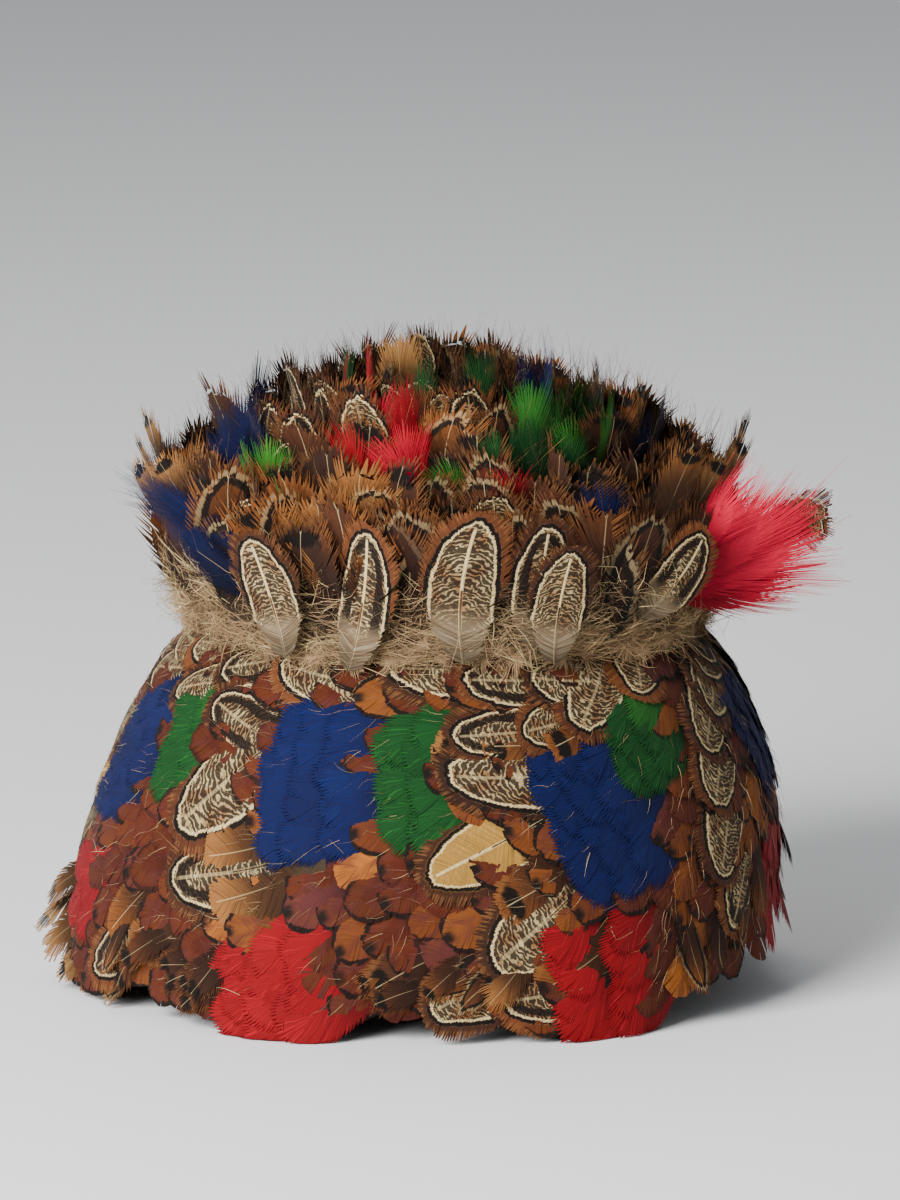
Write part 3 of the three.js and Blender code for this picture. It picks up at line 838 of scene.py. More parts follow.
# For each kind of dyed feather and each unit: degrees from the unit's middle, lean in degrees over the whole
# slope, half the width in degrees, and the shares of the slope where it starts and ends
GROUPS = {
    "blue": [
        (1, 0, 5.6, 0.19, 0.5), (1, 22, 5.6, 0.27, 0.62)
    ] + [(1, 6, 5.8, 0.22, 0.56)] * 4 + [(2, -8, 5.6, 0.2, 0.5)],
    "green": [
        (19.6, 0, 2.9, 0.2, 0.5), (13.5, 0, 2.8, 0.17, 0.38)
    ] + [(19, 0, 3, 0.2, 0.48)] * 4 + [(22, -6, 3.6, 0.17, 0.42)],
    "red": [
        (-3.5, -8, 5.2, 0.76, 1.02), (-1, 10, 4.6, 0.73, 1.02)
    ] + [(-3, 0, 5.2, 0.74, 1.02)] * 4 + [(-4, 0, 4, 0.66, 0.8)],
}


def kind_at(azimuth, share, wider=0.0):
    """The kind of dyed feather at each place, or rust."""
    unit = np.floor((azimuth - FIRST_UNIT + UNIT_TURN / 2) / UNIT_TURN).astype(int) % UNITS
    offset = (azimuth - FIRST_UNIT + UNIT_TURN / 2) % UNIT_TURN - UNIT_TURN / 2
    kind = np.full(len(azimuth), "rust", dtype=object)
    for name, table in GROUPS.items():
        centre, lean, half, low, high = np.array(table)[unit].T
        away = np.abs(offset - centre - lean * (share - (low + high) / 2))
        kind[(away < half + wider) & (share > low) & (share < high)] = name
    return kind


def brim_spots():
    """Where the flat feathers go: even rows, shaken, with what kind each is."""
    sizes = bpy.context.scene.feather_hat_sizes
    rng = np.random.default_rng(41)
    azimuths, shares = [], []
    long = brim_face()[2].mean()
    rows = round(0.97 * long / sizes.row_step)
    for row in range(rows):
        share = 0.97 * (row + 0.5) / rows
        radius = brim_size(np.array([0.0]), np.array([share]))[0][0]
        count = round(math.tau * radius / (sizes.row_step * 1.12))
        turn = (
            np.arange(count) + 0.5 * (row % 2) + rng.normal(0, 0.16, count) * sizes.wildness
        ) * 360 / count
        azimuths.append(turn)
        shares.append(share + rng.normal(0, 0.011, count) * sizes.wildness)
    azimuth, share = np.concatenate(azimuths), np.concatenate(shares)
    offset = (azimuth - FIRST_UNIT + UNIT_TURN / 2) % UNIT_TURN - UNIT_TURN / 2
    kind = kind_at(azimuth + 0.9, share + 0.01, rng.normal(1.2, 0.4, len(azimuth)))
    return azimuth, share, offset, kind


def lay_kind(rng, wanted, length, width, tint, rise_by, strips=12, **style):
    """Feathers of one kind, laid at its spots."""
    azimuth, share, offset, kind = brim_spots()
    pick = np.flatnonzero(kind == wanted)
    azimuth, share, offset = azimuth[pick], share[pick], offset[pick]
    count = len(pick)
    wild = bpy.context.scene.feather_hat_sizes.wildness
    long = length * rng.normal(1, 0.08, count)
    across = width * rng.normal(1, 0.09, count)
    heading = heading_at(azimuth, share) + rng.normal(0, style.pop("turn", 7), count) * wild
    lift = rise_by * rng.normal(1, 0.14, count)
    made = vanes(rng, long, across, strips=strips, **style)
    made = laid(
        made, azimuth, share, heading, rng.uniform(0.0002, 0.0009, count), lift, rng.normal(0, 0.05, count)
    )
    return tagged(rng, made, tint(azimuth, share, offset, rng) if callable(tint) else tint)


def rust_tint(azimuth, share, offset, rng):
    golden = np.exp(-(((offset + 11) / 4.5) ** 2)) * np.exp(-(((share - 0.6) / 0.16) ** 2)) * 0.5
    plum = np.exp(-(((offset - 3) / 8) ** 2)) * np.exp(-(((share - 0.72) / 0.08) ** 2)) * 0.3
    spots = np.where(rng.random(len(share)) < 0.06, 0.4, 0.0)
    return 0.42 + golden - plum + spots + rng.normal(0, 0.15, len(share))


class FEATHERHAT_OT_felt(bpy.types.Operator):
    """Smooths the felt form under the feathers"""

    bl_idname = "featherhat.felt"
    bl_label = "Felt"

    def execute(self, context):
        for name in ("brim_felt", "shoulder_felt", "crown_felt", "crown_tip_felt"):
            bpy.ops.object.select_all(action="DESELECT")
            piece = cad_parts[name].copy()
            piece.data = piece.data.copy()
            piece.name = name.replace("_felt", "") + "_form"
            context.scene.collection.objects.link(piece)
            piece.select_set(True)
            context.view_layer.objects.active = piece
            bpy.ops.object.mode_set(mode="EDIT")
            bpy.ops.mesh.select_all(action="SELECT")
            bpy.ops.mesh.remove_doubles(threshold=0.00002)
            bpy.ops.object.mode_set(mode="OBJECT")
            smooth = piece.modifiers.new("Smooth felt", "SUBSURF")
            smooth.levels = smooth.render_levels = 1
            bpy.ops.object.modifier_apply(modifier=smooth.name)
            bpy.ops.object.shade_smooth_by_angle(angle=math.radians(50))
            piece.data.materials.clear()
            piece.data.materials.append(felt_material())
            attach(piece, "root")
            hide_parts(name)
        return {"FINISHED"}


class FEATHERHAT_OT_coat(bpy.types.Operator):
    """Lays the rust feathers all over the brim"""

    bl_idname = "featherhat.coat"
    bl_label = "Rust coat"

    def execute(self, context):
        sizes = context.scene.feather_hat_sizes
        rng = np.random.default_rng(7)
        made = lay_kind(
            rng,
            "rust",
            sizes.feather_length,
            sizes.feather_width,
            rust_tint,
            sizes.tip_rise,
            strips=16,
            ragged=0.009,
            comb=0.95,
            shape=(0.62, 0.8, 0.3),
        )
        make_piece("brim_rust_feathers", [made], "rust_feather", ["rust_coat"])
        azimuth, share = rng.uniform(0, 360, STRAY_HAIRS), rng.uniform(0.04, 0.97, STRAY_HAIRS)
        free = (kind_at(azimuth, share) == "rust") | (rng.random(STRAY_HAIRS) < 0.03)
        azimuth, share = azimuth[free], share[free]
        count = len(azimuth)
        heading = np.radians(heading_at(azimuth, share) + rng.normal(0, 28, count))
        radius, slope = brim_size(azimuth, share)
        reach = rng.uniform(0.004, 0.011, count)
        root = on_brim(azimuth, share, rng.uniform(0.0035, 0.0045, count))
        ahead = azimuth - np.degrees(reach * np.cos(heading) / radius)
        tip = on_brim(ahead, share + reach * np.sin(heading) / slope, rng.uniform(0.0045, 0.0075, count))
        stray = tagged(rng, hairs(rng, root, tip, np.full(count, 0.00008), 0.08 * reach), 0.6, 0.3)
        make_piece("brim_stray_hairs", [stray], "down")
        return {"FINISHED"}


# The barred feathers of a unit, from the top down: degrees from its middle, share of the slope, heading,
# length and width in mm, and tint
BARRED = [
    (30, 0.34, 14, 56, 28, 0.2),
    (31, 0.49, 22, 52, 26, 0.95),
    (30, 0.64, 30, 56, 29, 0.6),
    (29, 0.8, 28, 54, 28, 0.2),
    (29, 0.94, 18, 46, 25, 0.6),
]
# Large feathers as seen from the front: across and up in mm in that view, heading, length and width in mm,
# and tint
FRONT_BARRED = [
    (-94, 72, 44, 64, 36, 0.2),
    (-92, 38, 20, 58, 30, 0.6),
    (-130, 7, 28, 46, 24, 0.6),
    (19, 74, 12, 62, 27, 0.2),
    (13, 94, 8, 50, 22, 0.6),
    (7, 46, 26, 52, 25, 0.95),
    (23, 17, 34, 56, 30, 0.2),
    (4, -7, 28, 46, 24, 0.2),
    (36, -9, 18, 46, 25, 0.6),
    (101, 114, 26, 44, 27, 0.2),
    (103, 96, 42, 44, 29, 0.2),
    (105, 76, 46, 44, 29, 0.2),
    (108, 52, 50, 46, 30, 0.2),
    (111, 30, 50, 44, 27, 0.6),
]
# Plain golden feathers beside them
FRONT_GOLDEN = [
    (9, 93, 4, 44, 20, 0.95),
    (30, 90, 8, 42, 19, 0.9),
    (52, 96, 20, 40, 20, 0.8),
    (32, 32, 30, 44, 20, 0.75),
    (-82, 47, 24, 42, 22, 0.95),
    (-76, 30, 26, 44, 22, 0.95),
    (-122, 26, 34, 42, 20, 0.85),
    (-112, 12, 20, 44, 20, 0.75),
    (44, 2, 24, 44, 22, 0.8),
    (-20, 0, 26, 42, 20, 0.5),
]
# The shoulder's own, at the front
FRONT_COLLAR = [
    (-106, 130, 24, 40, 22, 0.2),
    (-88, 132, 8, 40, 24, 0.2),
    (-78, 122, 20, 42, 25, 0.6),
    (-96, 116, 14, 38, 22, 0.2),
    (-52, 116, 2, 54, 27, 0.2),
    (-82, 104, -14, 44, 24, 0.6),
    (-8, 118, 6, 56, 27, 0.2),
    (17, 115, 0, 46, 24, 0.6),
    (45, 118, -12, 48, 25, 0.2),
    (56, 105, 52, 50, 27, 0.2),
    (39, 101, 6, 38, 22, 0.2),
    (76, 119, 66, 42, 25, 0.2),
    (99, 118, 8, 44, 24, 0.2),
]
# Two rings on the shoulder, at the sides and the back: share of the slope, how many, length and width in mm
COLLAR = [(0.075, 22, 46, 25), (0.17, 19, 48, 26)]


def seen_at(x, up):
    """The azimuth and share of the brim's point at this place as seen from the front, a little from above."""
    grid = brim_face()[0]
    away = np.hypot(
        grid[..., 0] - x * MM, grid[..., 2] + SIGHT_RISE * grid[..., 1] - up * MM
    ) + np.where(grid[..., 1] > 0, 1, 0)
    column, row = np.unravel_index(away.argmin(), away.shape)
    turn = 360 * column / grid.shape[0]
    return (turn + 180) % 360 - 180, row / (grid.shape[1] - 1)


def lay_single(rng, rows, rise_by):
    """Large feathers laid one by one on the coat: rows of azimuth, share, heading, length, width and tint."""
    azimuth, share, heading, length, width, tint = np.array(rows, float).T
    length, width = length * SINGLE_LONG, width * SINGLE_WIDE
    made = vanes(
        rng,
        length * MM,
        width * MM,
        strips=14,
        fringe=3,
        web=0.9,
        ragged=0.014,
        comb=0.4,
        cup=0.1,
        shape=(0.68, 0.68, 0.45),
    )
    made = laid(made, azimuth, share, heading, 0.0025, rise_by, rng.normal(0, 0.06, len(rows)), roll=0.0)
    return tagged(rng, made, tint, 0.0)


class FEATHERHAT_OT_patches(bpy.types.Operator):
    """Lays the dyed and the barred feathers in their places on the coat"""

    bl_idname = "featherhat.patches"
    bl_label = "Patches"

    def execute(self, context):
        sizes = context.scene.feather_hat_sizes
        rng = np.random.default_rng(19)
        long, wide, high = sizes.feather_length, sizes.feather_width, sizes.tip_rise
        barb = {"ragged": 0.016, "comb": 0.15, "fringe": 4, "web": 0.84, "shape": (0.66, 0.8, 0.4, 0.8)}
        for kind, groups in GROUPS.items():
            spots = []
            for unit, (centre, lean, half, upper, lower) in enumerate(groups):
                steps = round((lower - upper) / 0.045)
                across = max(2, round(half / 1.9))
                for share in upper + (lower - upper) * (np.arange(steps) + 0.5) / steps:
                    for side in np.linspace(
                        -half, half, across
                    ) * rng.uniform(0.85, 1.15) + rng.normal(0, 0.6):
                        turn = centre + lean * (share - (upper + lower) / 2) + side
                        spots.append((FIRST_UNIT + unit * UNIT_TURN + turn, share))
            azimuth, share = np.array(spots).T + rng.normal(0, 1, (2, len(spots))) * [[0.5], [0.006]]
            count = len(spots)
            size = rng.normal(1, 0.06, (2, count))
            made = vanes(rng, 1.15 * long * size[0], 1.2 * wide * size[1], strips=9, **barb)
            heading = heading_at(azimuth, share) + rng.normal(0, 4, count)
            base = rng.uniform(0.0008, 0.001, count)
            made = laid(made, azimuth, share, heading, base, 1.14 * high, rng.normal(0, 0.05, count), 0.0)
            nodes = [f"{kind}_patch_{unit}" for unit in range(1, UNITS + 1)]
            made = tagged(rng, made, 0.32 if kind == "red" else 0.45, 0.05)
            make_piece(f"brim_{kind}_feathers", [made], f"{kind}_feather", nodes)
        rows = [(*seen_at(x, up), *more) for x, up, *more in FRONT_BARRED]
        for unit in range(2, UNITS - 1):
            for offset, share, heading, length, width, tint in BARRED:
                azimuth = FIRST_UNIT + unit * UNIT_TURN + offset + rng.normal(0, 0.7)
                turn = heading + 0.7 * (
                    heading_at(azimuth, share) - heading_at(0.0, share)
                ) + rng.normal(0, 6)
                kind = tint if tint > 0.9 else rng.choice([0.2, 0.6])
                rows.append((azimuth, share + rng.normal(0, 0.008), turn, length, width, kind))
        nodes = [f"barred_patch_{unit}" for unit in range(1, UNITS + 1)]
        golden = [(*seen_at(x, up), *more) for x, up, *more in FRONT_GOLDEN]
        for unit in range(2, UNITS - 1):
            for share in (0.42, 0.57, 0.72, 0.88):
                azimuth = FIRST_UNIT + unit * UNIT_TURN + 30 + rng.choice([-5, 5]) + rng.normal(0, 1)
                golden.append(
                    (
                        azimuth,
                        share + rng.normal(0, 0.02),
                        20 + rng.normal(0, 8),
                        42,
                        20,
                        rng.uniform(0.7, 0.95),
                    )
                )
        made = lay_single(rng, golden, 0.0022)
        made["seed"] = np.where(
            np.arange(len(golden)) < 3, 0.8, rng.choice([0.3, 0.8], len(golden), p=[0.8, 0.2])
        )
        made["tint"] *= 0.9
        make_piece("brim_golden_feathers", [made], "tan_feather")
        make_piece(
            "brim_barred_feathers",
            [lay_single(rng, rows, 0.0036)],
            "mottled_feather",
            nodes,
        )
        return {"FINISHED"}


# Loose feathers at the low left of the edge: foot and tip as azimuth, radius and height in mm, width in mm
# and tint
LOOSE = [
    ((-84, 136, 48), (-91, 160, 30), 19, 0.85),
    ((-92, 136, 38), (-89, 164, 19), 17, 0.95),
    ((-80, 136, 32), (-86, 162, 10), 19, 0.9),
    ((-73, 136, 24), (-80, 158, 5), 17, 0.95),
    ((-66, 137, 22), (-73, 152, 3), 16, 0.75),
    ((-59, 137, 18), (-66, 149, 2), 15, 0.9),
]


class FEATHERHAT_OT_edge(bpy.types.Operator):
    """Adds the loose feathers along the edge of the brim"""

    bl_idname = "featherhat.edge"
    bl_label = "Edge feathers"

    def execute(self, context):
        rng = np.random.default_rng(83)
        azimuth, share = rng.uniform(0, 360, 110), rng.uniform(0.86, 0.95, 110)
        offset = (azimuth - FIRST_UNIT + UNIT_TURN / 2) % UNIT_TURN - UNIT_TURN / 2
        free = (offset < -17) | (offset > 11)
        azimuth, share = azimuth[free], share[free]
        count = len(azimuth)
        length = rng.uniform(0.028, 0.04, count)
        made = vanes(
            rng,
            length,
            0.4 * length,
            strips=8,
            fringe=3,
            web=0.7,
            ragged=0.05,
            comb=0.15,
            shape=(0.66, 0.9, 0.3, 0.75),
        )
        heading = heading_at(azimuth, share) + rng.normal(6, 14, count)
        made = laid(
            made,
            azimuth,
            share,
            heading,
            0.002,
            rng.uniform(0.003, 0.009, count),
            rng.normal(0, 0.2, count),
            0.1,
        )
        made = tagged(rng, made, rng.choice([0.35, 0.5, 0.65, 0.8], count))
        loose = plume_feathers(
            rng,
            LOOSE,
            (-0.8, -0.5, 0.5),
            0.003,
            strips=8,
            fringe=3,
            web=0.6,
            ragged=0.06,
            shape=(0.62, 1.0, 0.3, 0.7),
        )
        make_piece("brim_edge_feathers", [made, loose], "tan_feather")
        return {"FINISHED"}


class FEATHERHAT_OT_collar(bpy.types.Operator):
    """Lays the ring of pale-edged feathers on the shoulder"""

    bl_idname = "featherhat.collar"
    bl_label = "Collar"

    def execute(self, context):
        rng = np.random.default_rng(23)
        rows = [(*seen_at(x, up), *more) for x, up, *more in FRONT_COLLAR]
        for ring, (share, count, length, width) in enumerate(COLLAR):
            for number in range(count):
                azimuth = (number + 0.5 * ring + rng.normal(0, 0.16)) * 360 / count
                if abs((azimuth + 180) % 360 - 180) < 70:
                    continue
                heading = heading_at(azimuth, share) + rng.normal(0, 15)
                size = rng.normal(1, 0.1)
                rows.append(
                    (
                        azimuth,
                        share + rng.normal(0, 0.015),
                        heading,
                        length * size,
                        width * size,
                        rng.choice([0.2, 0.6]),
                    )
                )
        make_piece(
            "collar_feathers",
            [lay_single(rng, rows, 0.003)],
            "mottled_feather",
            ["mottled_collar"],
        )
        return {"FINISHED"}


# The crown
def ring_shape(name):
    """Radius and height of a ring's foot and of its tips, from the crown's axis."""
    corners = np.array([corner.co[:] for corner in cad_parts[name].data.vertices])
    radius = np.hypot(corners[:, 0] - AXIS.x, corners[:, 1] - AXIS.y)
    low, high = corners[:, 2].min(), corners[:, 2].max()
    foot = radius[corners[:, 2] < low + 0.001].mean()
    return foot, low, radius[corners[:, 2] > high - 0.001].mean(), high


def round_crown(azimuth, radius, height):
    turn = np.radians(azimuth)
    x, y = AXIS.x + radius * np.sin(turn), AXIS.y - radius * np.cos(turn)
    return np.stack([x, y, np.broadcast_to(height, x.shape)], -1)


FAN = {
    "strips": 9,
    "fringe": 4,
    "web": 0.78,
    "ragged": 0.065,
    "comb": 0.12,
    "shape": (0.74, 0.65, 0.3, 0.7),
    "cup": 0.16,
}


def standing(rng, azimuth, ring, width, reach=1.0, lean=0.0, bow=0.002, **style):
    """Feathers that stand on a ring at these azimuths. lean is how far the tips go round, in metres."""
    count = len(azimuth)
    foot, low, out, high = ring
    column = lambda value: np.broadcast_to(np.asarray(value, float), (count,))
    reach = column(reach) * rng.normal(1, 0.035, count)
    tip_radius = foot + (out - foot) * reach + rng.normal(0, 0.0022, count)
    tip_height = low + (high - low) * reach + rng.normal(0, 0.0015, count)
    root = round_crown(
        azimuth, foot - 0.0005 + rng.uniform(0, 0.002, count), low + rng.uniform(-0.001, 0.002, count)
    )
    turned = azimuth + np.degrees(
        (column(lean) + rng.normal(0, 0.005, count)) / np.maximum(tip_radius, 0.02)
    )
    tip = round_crown(turned, tip_radius, tip_height)
    facing = round_crown(azimuth + rng.normal(0, 19, count), 1.0, 0.0) - np.array([AXIS.x, AXIS.y, 0])
    length = np.linalg.norm(tip - root, axis=1)
    made = vanes(rng, length, column(width) * rng.normal(1, 0.08, count), **{**FAN, **style})
    return aimed(
        made,
        root,
        tip,
        facing,
        column(bow) + rng.normal(0, 0.0022, count),
        rng.normal(0, 0.004, count),
        rng.normal(0, 0.26, count),
    )


# Feathers of the crown that stand out, as seen from the front: across and up in mm in that view, half the
# width and half the height of the spot, kind and tint
ACCENTS = [
    (-18, 214, 11, 16, "red", 0.55),
    (-1, 216, 9, 8, "tan", 0.8),
    (41, 224, 21, 11, "green", 0.6),
    (43, 211, 18, 7, "green", 0.2),
    (78, 218, 11, 9, "blue", 0.2),
    (-81, 218, 9, 12, "blue", 0.12),
    (-70, 205, 6, 10, "green", 0.8),
    (-55, 207, 6, 9, "red", 0.45),
    (-7, 200, 12, 5, "green", 0.7),
    (31, 193, 10, 6, "red", 0.2),
    (3, 233, 8, 5, "mottled", 0.2),
    (-23, 228, 8, 6, "mottled", 0.2),
    (-13, 256, 9, 5, "blue", 0.3),
    (-38, 244, 11, 7, "red", 0.5),
    (-47, 241, 9, 6, "mottled", 0.2),
    (-66, 232, 9, 8, "mottled", 0.6),
    (8, 253, 10, 6, "mottled", 0.2),
    (36, 248, 8, 9, "blue", 0.35),
    (48, 236, 8, 6, "blue", 0.2),
    (16, 244, 8, 5, "green", 0.4),
    (-57, 232, 10, 12, "mottled", 0.6),
    (-9, 245, 14, 6, "green", 0.15),
    (63, 187, 7, 7, "blue", 0.15),
    (31, 240, 9, 6, "mottled", 0.2),
    (-43, 218, 9, 6, "red", 0.4),
    (59, 193, 8, 7, "tan", 0.8),
    (-35, 193, 20, 8, "tan", 0.85),
    (-105, 209, 14, 10, "tan", 0.85),
    (111, 203, 14, 10, "tan", 0.85),
    (77, 229, 10, 6, "tan", 0.85),
]

# The large feathers at the front of the lowest row: foot and tip as azimuth, radius and height in mm, width
# in mm, and tint
HEROES = [
    ((-34, 112, 145), (-38, 127, 197), 30, 0.1),
    ((-21, 107, 141), (-15, 118, 203), 30, 0.5),
    ((4, 108, 145), (7, 120, 208), 37, 0.1),
    ((20, 106, 148), (21, 117, 204), 31, 0.5),
    ((23, 110, 144), (25, 121, 193), 29, 0.1),
    ((44, 110, 158), (58, 122, 192), 26, 0.5),
]
# Plain fans behind them
BACKERS = [
    ((-29, 104, 150), (-29, 116, 200), 34, 0.1),
    ((-9, 104, 150), (-8, 116, 208), 40, 0.4),
    ((13, 104, 150), (13, 116, 207), 38, 0.3),
    ((34, 104, 150), (33, 117, 209), 40, 0.55),
    ((40, 104, 150), (45, 118, 202), 38, 0.4),
    ((-46, 104, 150), (-48, 117, 202), 36, 0.2),
    ((-20, 104, 150), (-22, 115, 210), 38, 0.45),
    ((54, 104, 150), (62, 118, 200), 34, 0.35),
]
# Golden feathers with black tips that stand out at both sides
SIDES = [
    ((-76, 106, 182), (-84, 125, 211), 20, 0.95),
    ((-82, 105, 188), (-88, 124, 220), 20, 0.85),
    ((-90, 104, 192), (-94, 121, 228), 20, 0.9),
    ((-66, 106, 188), (-72, 120, 216), 22, 0.9),
    ((60, 106, 184), (66, 121, 218), 24, 0.9),
    ((70, 105, 188), (76, 124, 224), 24, 0.95),
    ((52, 107, 186), (56, 120, 226), 24, 0.85),
    ((80, 104, 190), (86, 122, 230), 22, 0.85),
]


def crown_kind(rng, azimuth, x, up):
    """The finish and tint of a feather of the crown, by where it's seen from the front."""
    if abs(azimuth) < 100:
        for middle, level, half, tall, kind, tint in ACCENTS:
            if ((x - middle) / half) ** 2 + ((up - level) / tall) ** 2 < 1:
                return kind, tint
    if abs(azimuth) > 75 and rng.random() < 0.16:
        return ("red", "green", "blue", "mottled")[rng.integers(4)], 0.45 if rng.random() < 0.6 else 0.2
    if rng.random() < 0.1:
        return "mottled", 0.6 if rng.random() < 0.5 else 0.2
    return "tan", rng.choice([0.15, 0.35, 0.5, 0.75])


class FEATHERHAT_OT_crown(bpy.types.Operator):
    """Stands the rings of feathers round the crown"""

    bl_idname = "featherhat.crown"
    bl_label = "Crown feathers"

    def execute(self, context):
        rng = np.random.default_rng(31)
        shapes = [ring_shape(name) for name in RINGS]
        counts = [46, 52, 50, 44, 34, 24, 10]
        widths = [0.038, 0.036, 0.034, 0.032, 0.03, 0.026, 0.02]
        rings = [(shape, count, width, 0.89) for shape, count, width in zip(shapes, counts, widths)]
        for row in range(6):
            between = [(a + b) / 2 for a, b in zip(shapes[row], shapes[row + 1])]
            rings.append((between, round(0.75 * counts[row]), widths[row], 0.84))
        batches = {}
        for number, (ring, count, width, level) in enumerate(rings):
            azimuth = ((np.arange(count) + rng.normal(0, 0.22, count)) * 360 / count + 180) % 360 - 180
            reach = level + 0.07 * np.where(np.arange(count) % 2, 1, -1) + rng.normal(0, 0.032, count)
            foot, low, out, high = ring
            tip = round_crown(azimuth, foot + (out - foot) * reach, low + (high - low) * reach)
            x, up = tip[:, 0] / MM, (tip[:, 2] + SIGHT_RISE * tip[:, 1]) / MM - 5
            found = {}
            for k in range(count):
                kind, tint = crown_kind(rng, azimuth[k], x[k], up[k])
                found.setdefault(kind, []).append((azimuth[k], tint, reach[k]))
            for kind, rows in found.items():
                turn, tint, size = np.array(rows).T
                dyed = kind in ("red", "green", "blue")
                style = {"strips": 8, "web": 0.55, "ragged": 0.06} if dyed else {}
                made = standing(
                    rng, turn, ring, width * (0.62 if dyed else 1), size * (1.08 if dyed else 1), **style
                )
                batches.setdefault(kind, []).append(tagged(rng, made, tint))
        backers = plume_feathers(rng, BACKERS, None, **FAN)
        sides = plume_feathers(rng, SIDES, None, **FAN)
        sides["seed"] = rng.uniform(0.6, 1, len(SIDES))
        batches["tan"] += [backers, sides]
        wisps = WISPS
        foot, low, out, high = np.array([ring[0] for ring in rings])[rng.integers(0, len(rings), wisps)].T
        azimuth, start, reach = rng.uniform(0, 360, wisps), rng.uniform(
            0.45, 0.85, wisps
        ), rng.uniform(0.95, 1.18, wisps)
        root = round_crown(azimuth, foot + (out - foot) * start + 0.001, low + (high - low) * start)
        spread = foot + (out - foot) * reach + rng.normal(0.001, 0.003, wisps)
        tip = round_crown(azimuth + rng.normal(0, 5, wisps), spread, low + (high - low) * reach)
        made = hairs(rng, root, tip, np.full(wisps, 0.00014), np.full(wisps, 0.0022))
        batches["tan"].append(tagged(rng, made, 0.7, 0.25))
        heroes = plume_feathers(
            rng,
            HEROES,
            None,
            strips=18,
            fringe=3,
            web=0.88,
            ragged=0.025,
            comb=0.3,
            shape=(0.68, 0.7, 0.36),
            quill=True,
        )
        batches["mottled"].append(heroes)
        for kind, made in batches.items():
            nodes = RINGS if kind == "tan" else ()
            make_piece(f"crown_{kind}_feathers", made, f"{kind}_feather", nodes)
        return {"FINISHED"}


class FEATHERHAT_OT_down(bpy.types.Operator):
    """Puts the down round the foot of the standing feathers"""

    bl_idname = "featherhat.down"
    bl_label = "Neck down"

    def execute(self, context):
        sizes = context.scene.feather_hat_sizes
        rng = np.random.default_rng(53)
        low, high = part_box("neck_down")
        inner = ring_shape(RINGS[0])[0]
        batches = []
        for level, up, count in ((0.0, 0.6, 50), (0.35, 0.9, 50), (0.8, 1.0, 44), (0.1, -0.2, 40)):
            azimuth = (np.arange(count) + rng.normal(0, 0.3, count)) * 360 / count
            height = low.z + level * (high.z - low.z)
            root = round_crown(azimuth, inner + 0.002, height)
            reach = rng.uniform(0.5, 1, count) * sizes.down_length
            tip = round_crown(
                azimuth + rng.normal(0, 5, count), inner + 0.006 + 0.3 * reach, height + up * reach
            )
            facing = round_crown(azimuth, 1.0, 0.0) - np.array([AXIS.x, AXIS.y, 0])
            length = np.linalg.norm(tip - root, axis=1)
            made = vanes(
                rng,
                length,
                np.full(count, 0.02),
                strips=8,
                fringe=6,
                web=0.12,
                ragged=0.25,
                comb=0.25,
                cup=0.4,
            )
            batches.append(tagged(rng, aimed(made, root, tip, facing, 0.003), 0.5, 0.25))
        foot, low, out, high = ring_shape(RINGS[0])
        tufts, each = TUFTS, TUFT_HAIRS
        bunch = lambda values: np.repeat(values, each)
        azimuth = bunch(rng.uniform(0, 360, tufts)) + rng.normal(0, 0.8, tufts * each)
        height = bunch(rng.triangular(-0.004, 0.004, 0.036, tufts)) + rng.normal(0, 0.0008, tufts * each)
        cone = foot + bunch(
            rng.uniform(0.003, 0.01, tufts)
        ) + (out - foot) * np.clip(height / (high - low), 0, 1)
        root = round_crown(azimuth, cone, low + height)
        lean = bunch(rng.normal(0, 12, tufts)) + rng.normal(0, 7, tufts * each)
        up = bunch(rng.normal(0.5, 0.7, tufts)) + rng.normal(0, 0.35, tufts * each)
        reach = bunch(rng.uniform(0.3, 1, tufts)) * rng.uniform(0.5, 1, tufts * each) * sizes.down_length
        tip = round_crown(
            azimuth + lean * reach / sizes.down_length, cone + 0.35 * reach, low + height + 0.6 * up * reach
        )
        made = hairs(rng, root, tip, np.full(len(root), 0.00016), 0.2 * reach)
        made = tagged(rng, made, bunch(rng.choice([0.3, 0.5, 0.75, 1.0], tufts, p=[0.2, 0.3, 0.25, 0.25])))
        batches.append(made)
        long = CREAM_HAIRS
        azimuth = rng.uniform(0, 360, long)
        height = rng.uniform(0, 0.035, long)
        cone = foot + 0.006 + (out - foot) * height / (high - low)
        turned = azimuth + rng.normal(0, 7, long)
        reach = rng.uniform(0.008, 0.022, long)
        root, tip = round_crown(azimuth, cone, low + height), round_crown(
            turned, cone + 0.25 * reach, low + height + reach * rng.uniform(-0.2, 1, long)
        )
        batches.append(tagged(rng, hairs(rng, root, tip, np.full(long, 0.00014), 0.1 * reach), 0.92, 0.08))
        make_piece("neck_down_fluff", batches, "down", ["neck_down"])
        return {"FINISHED"}


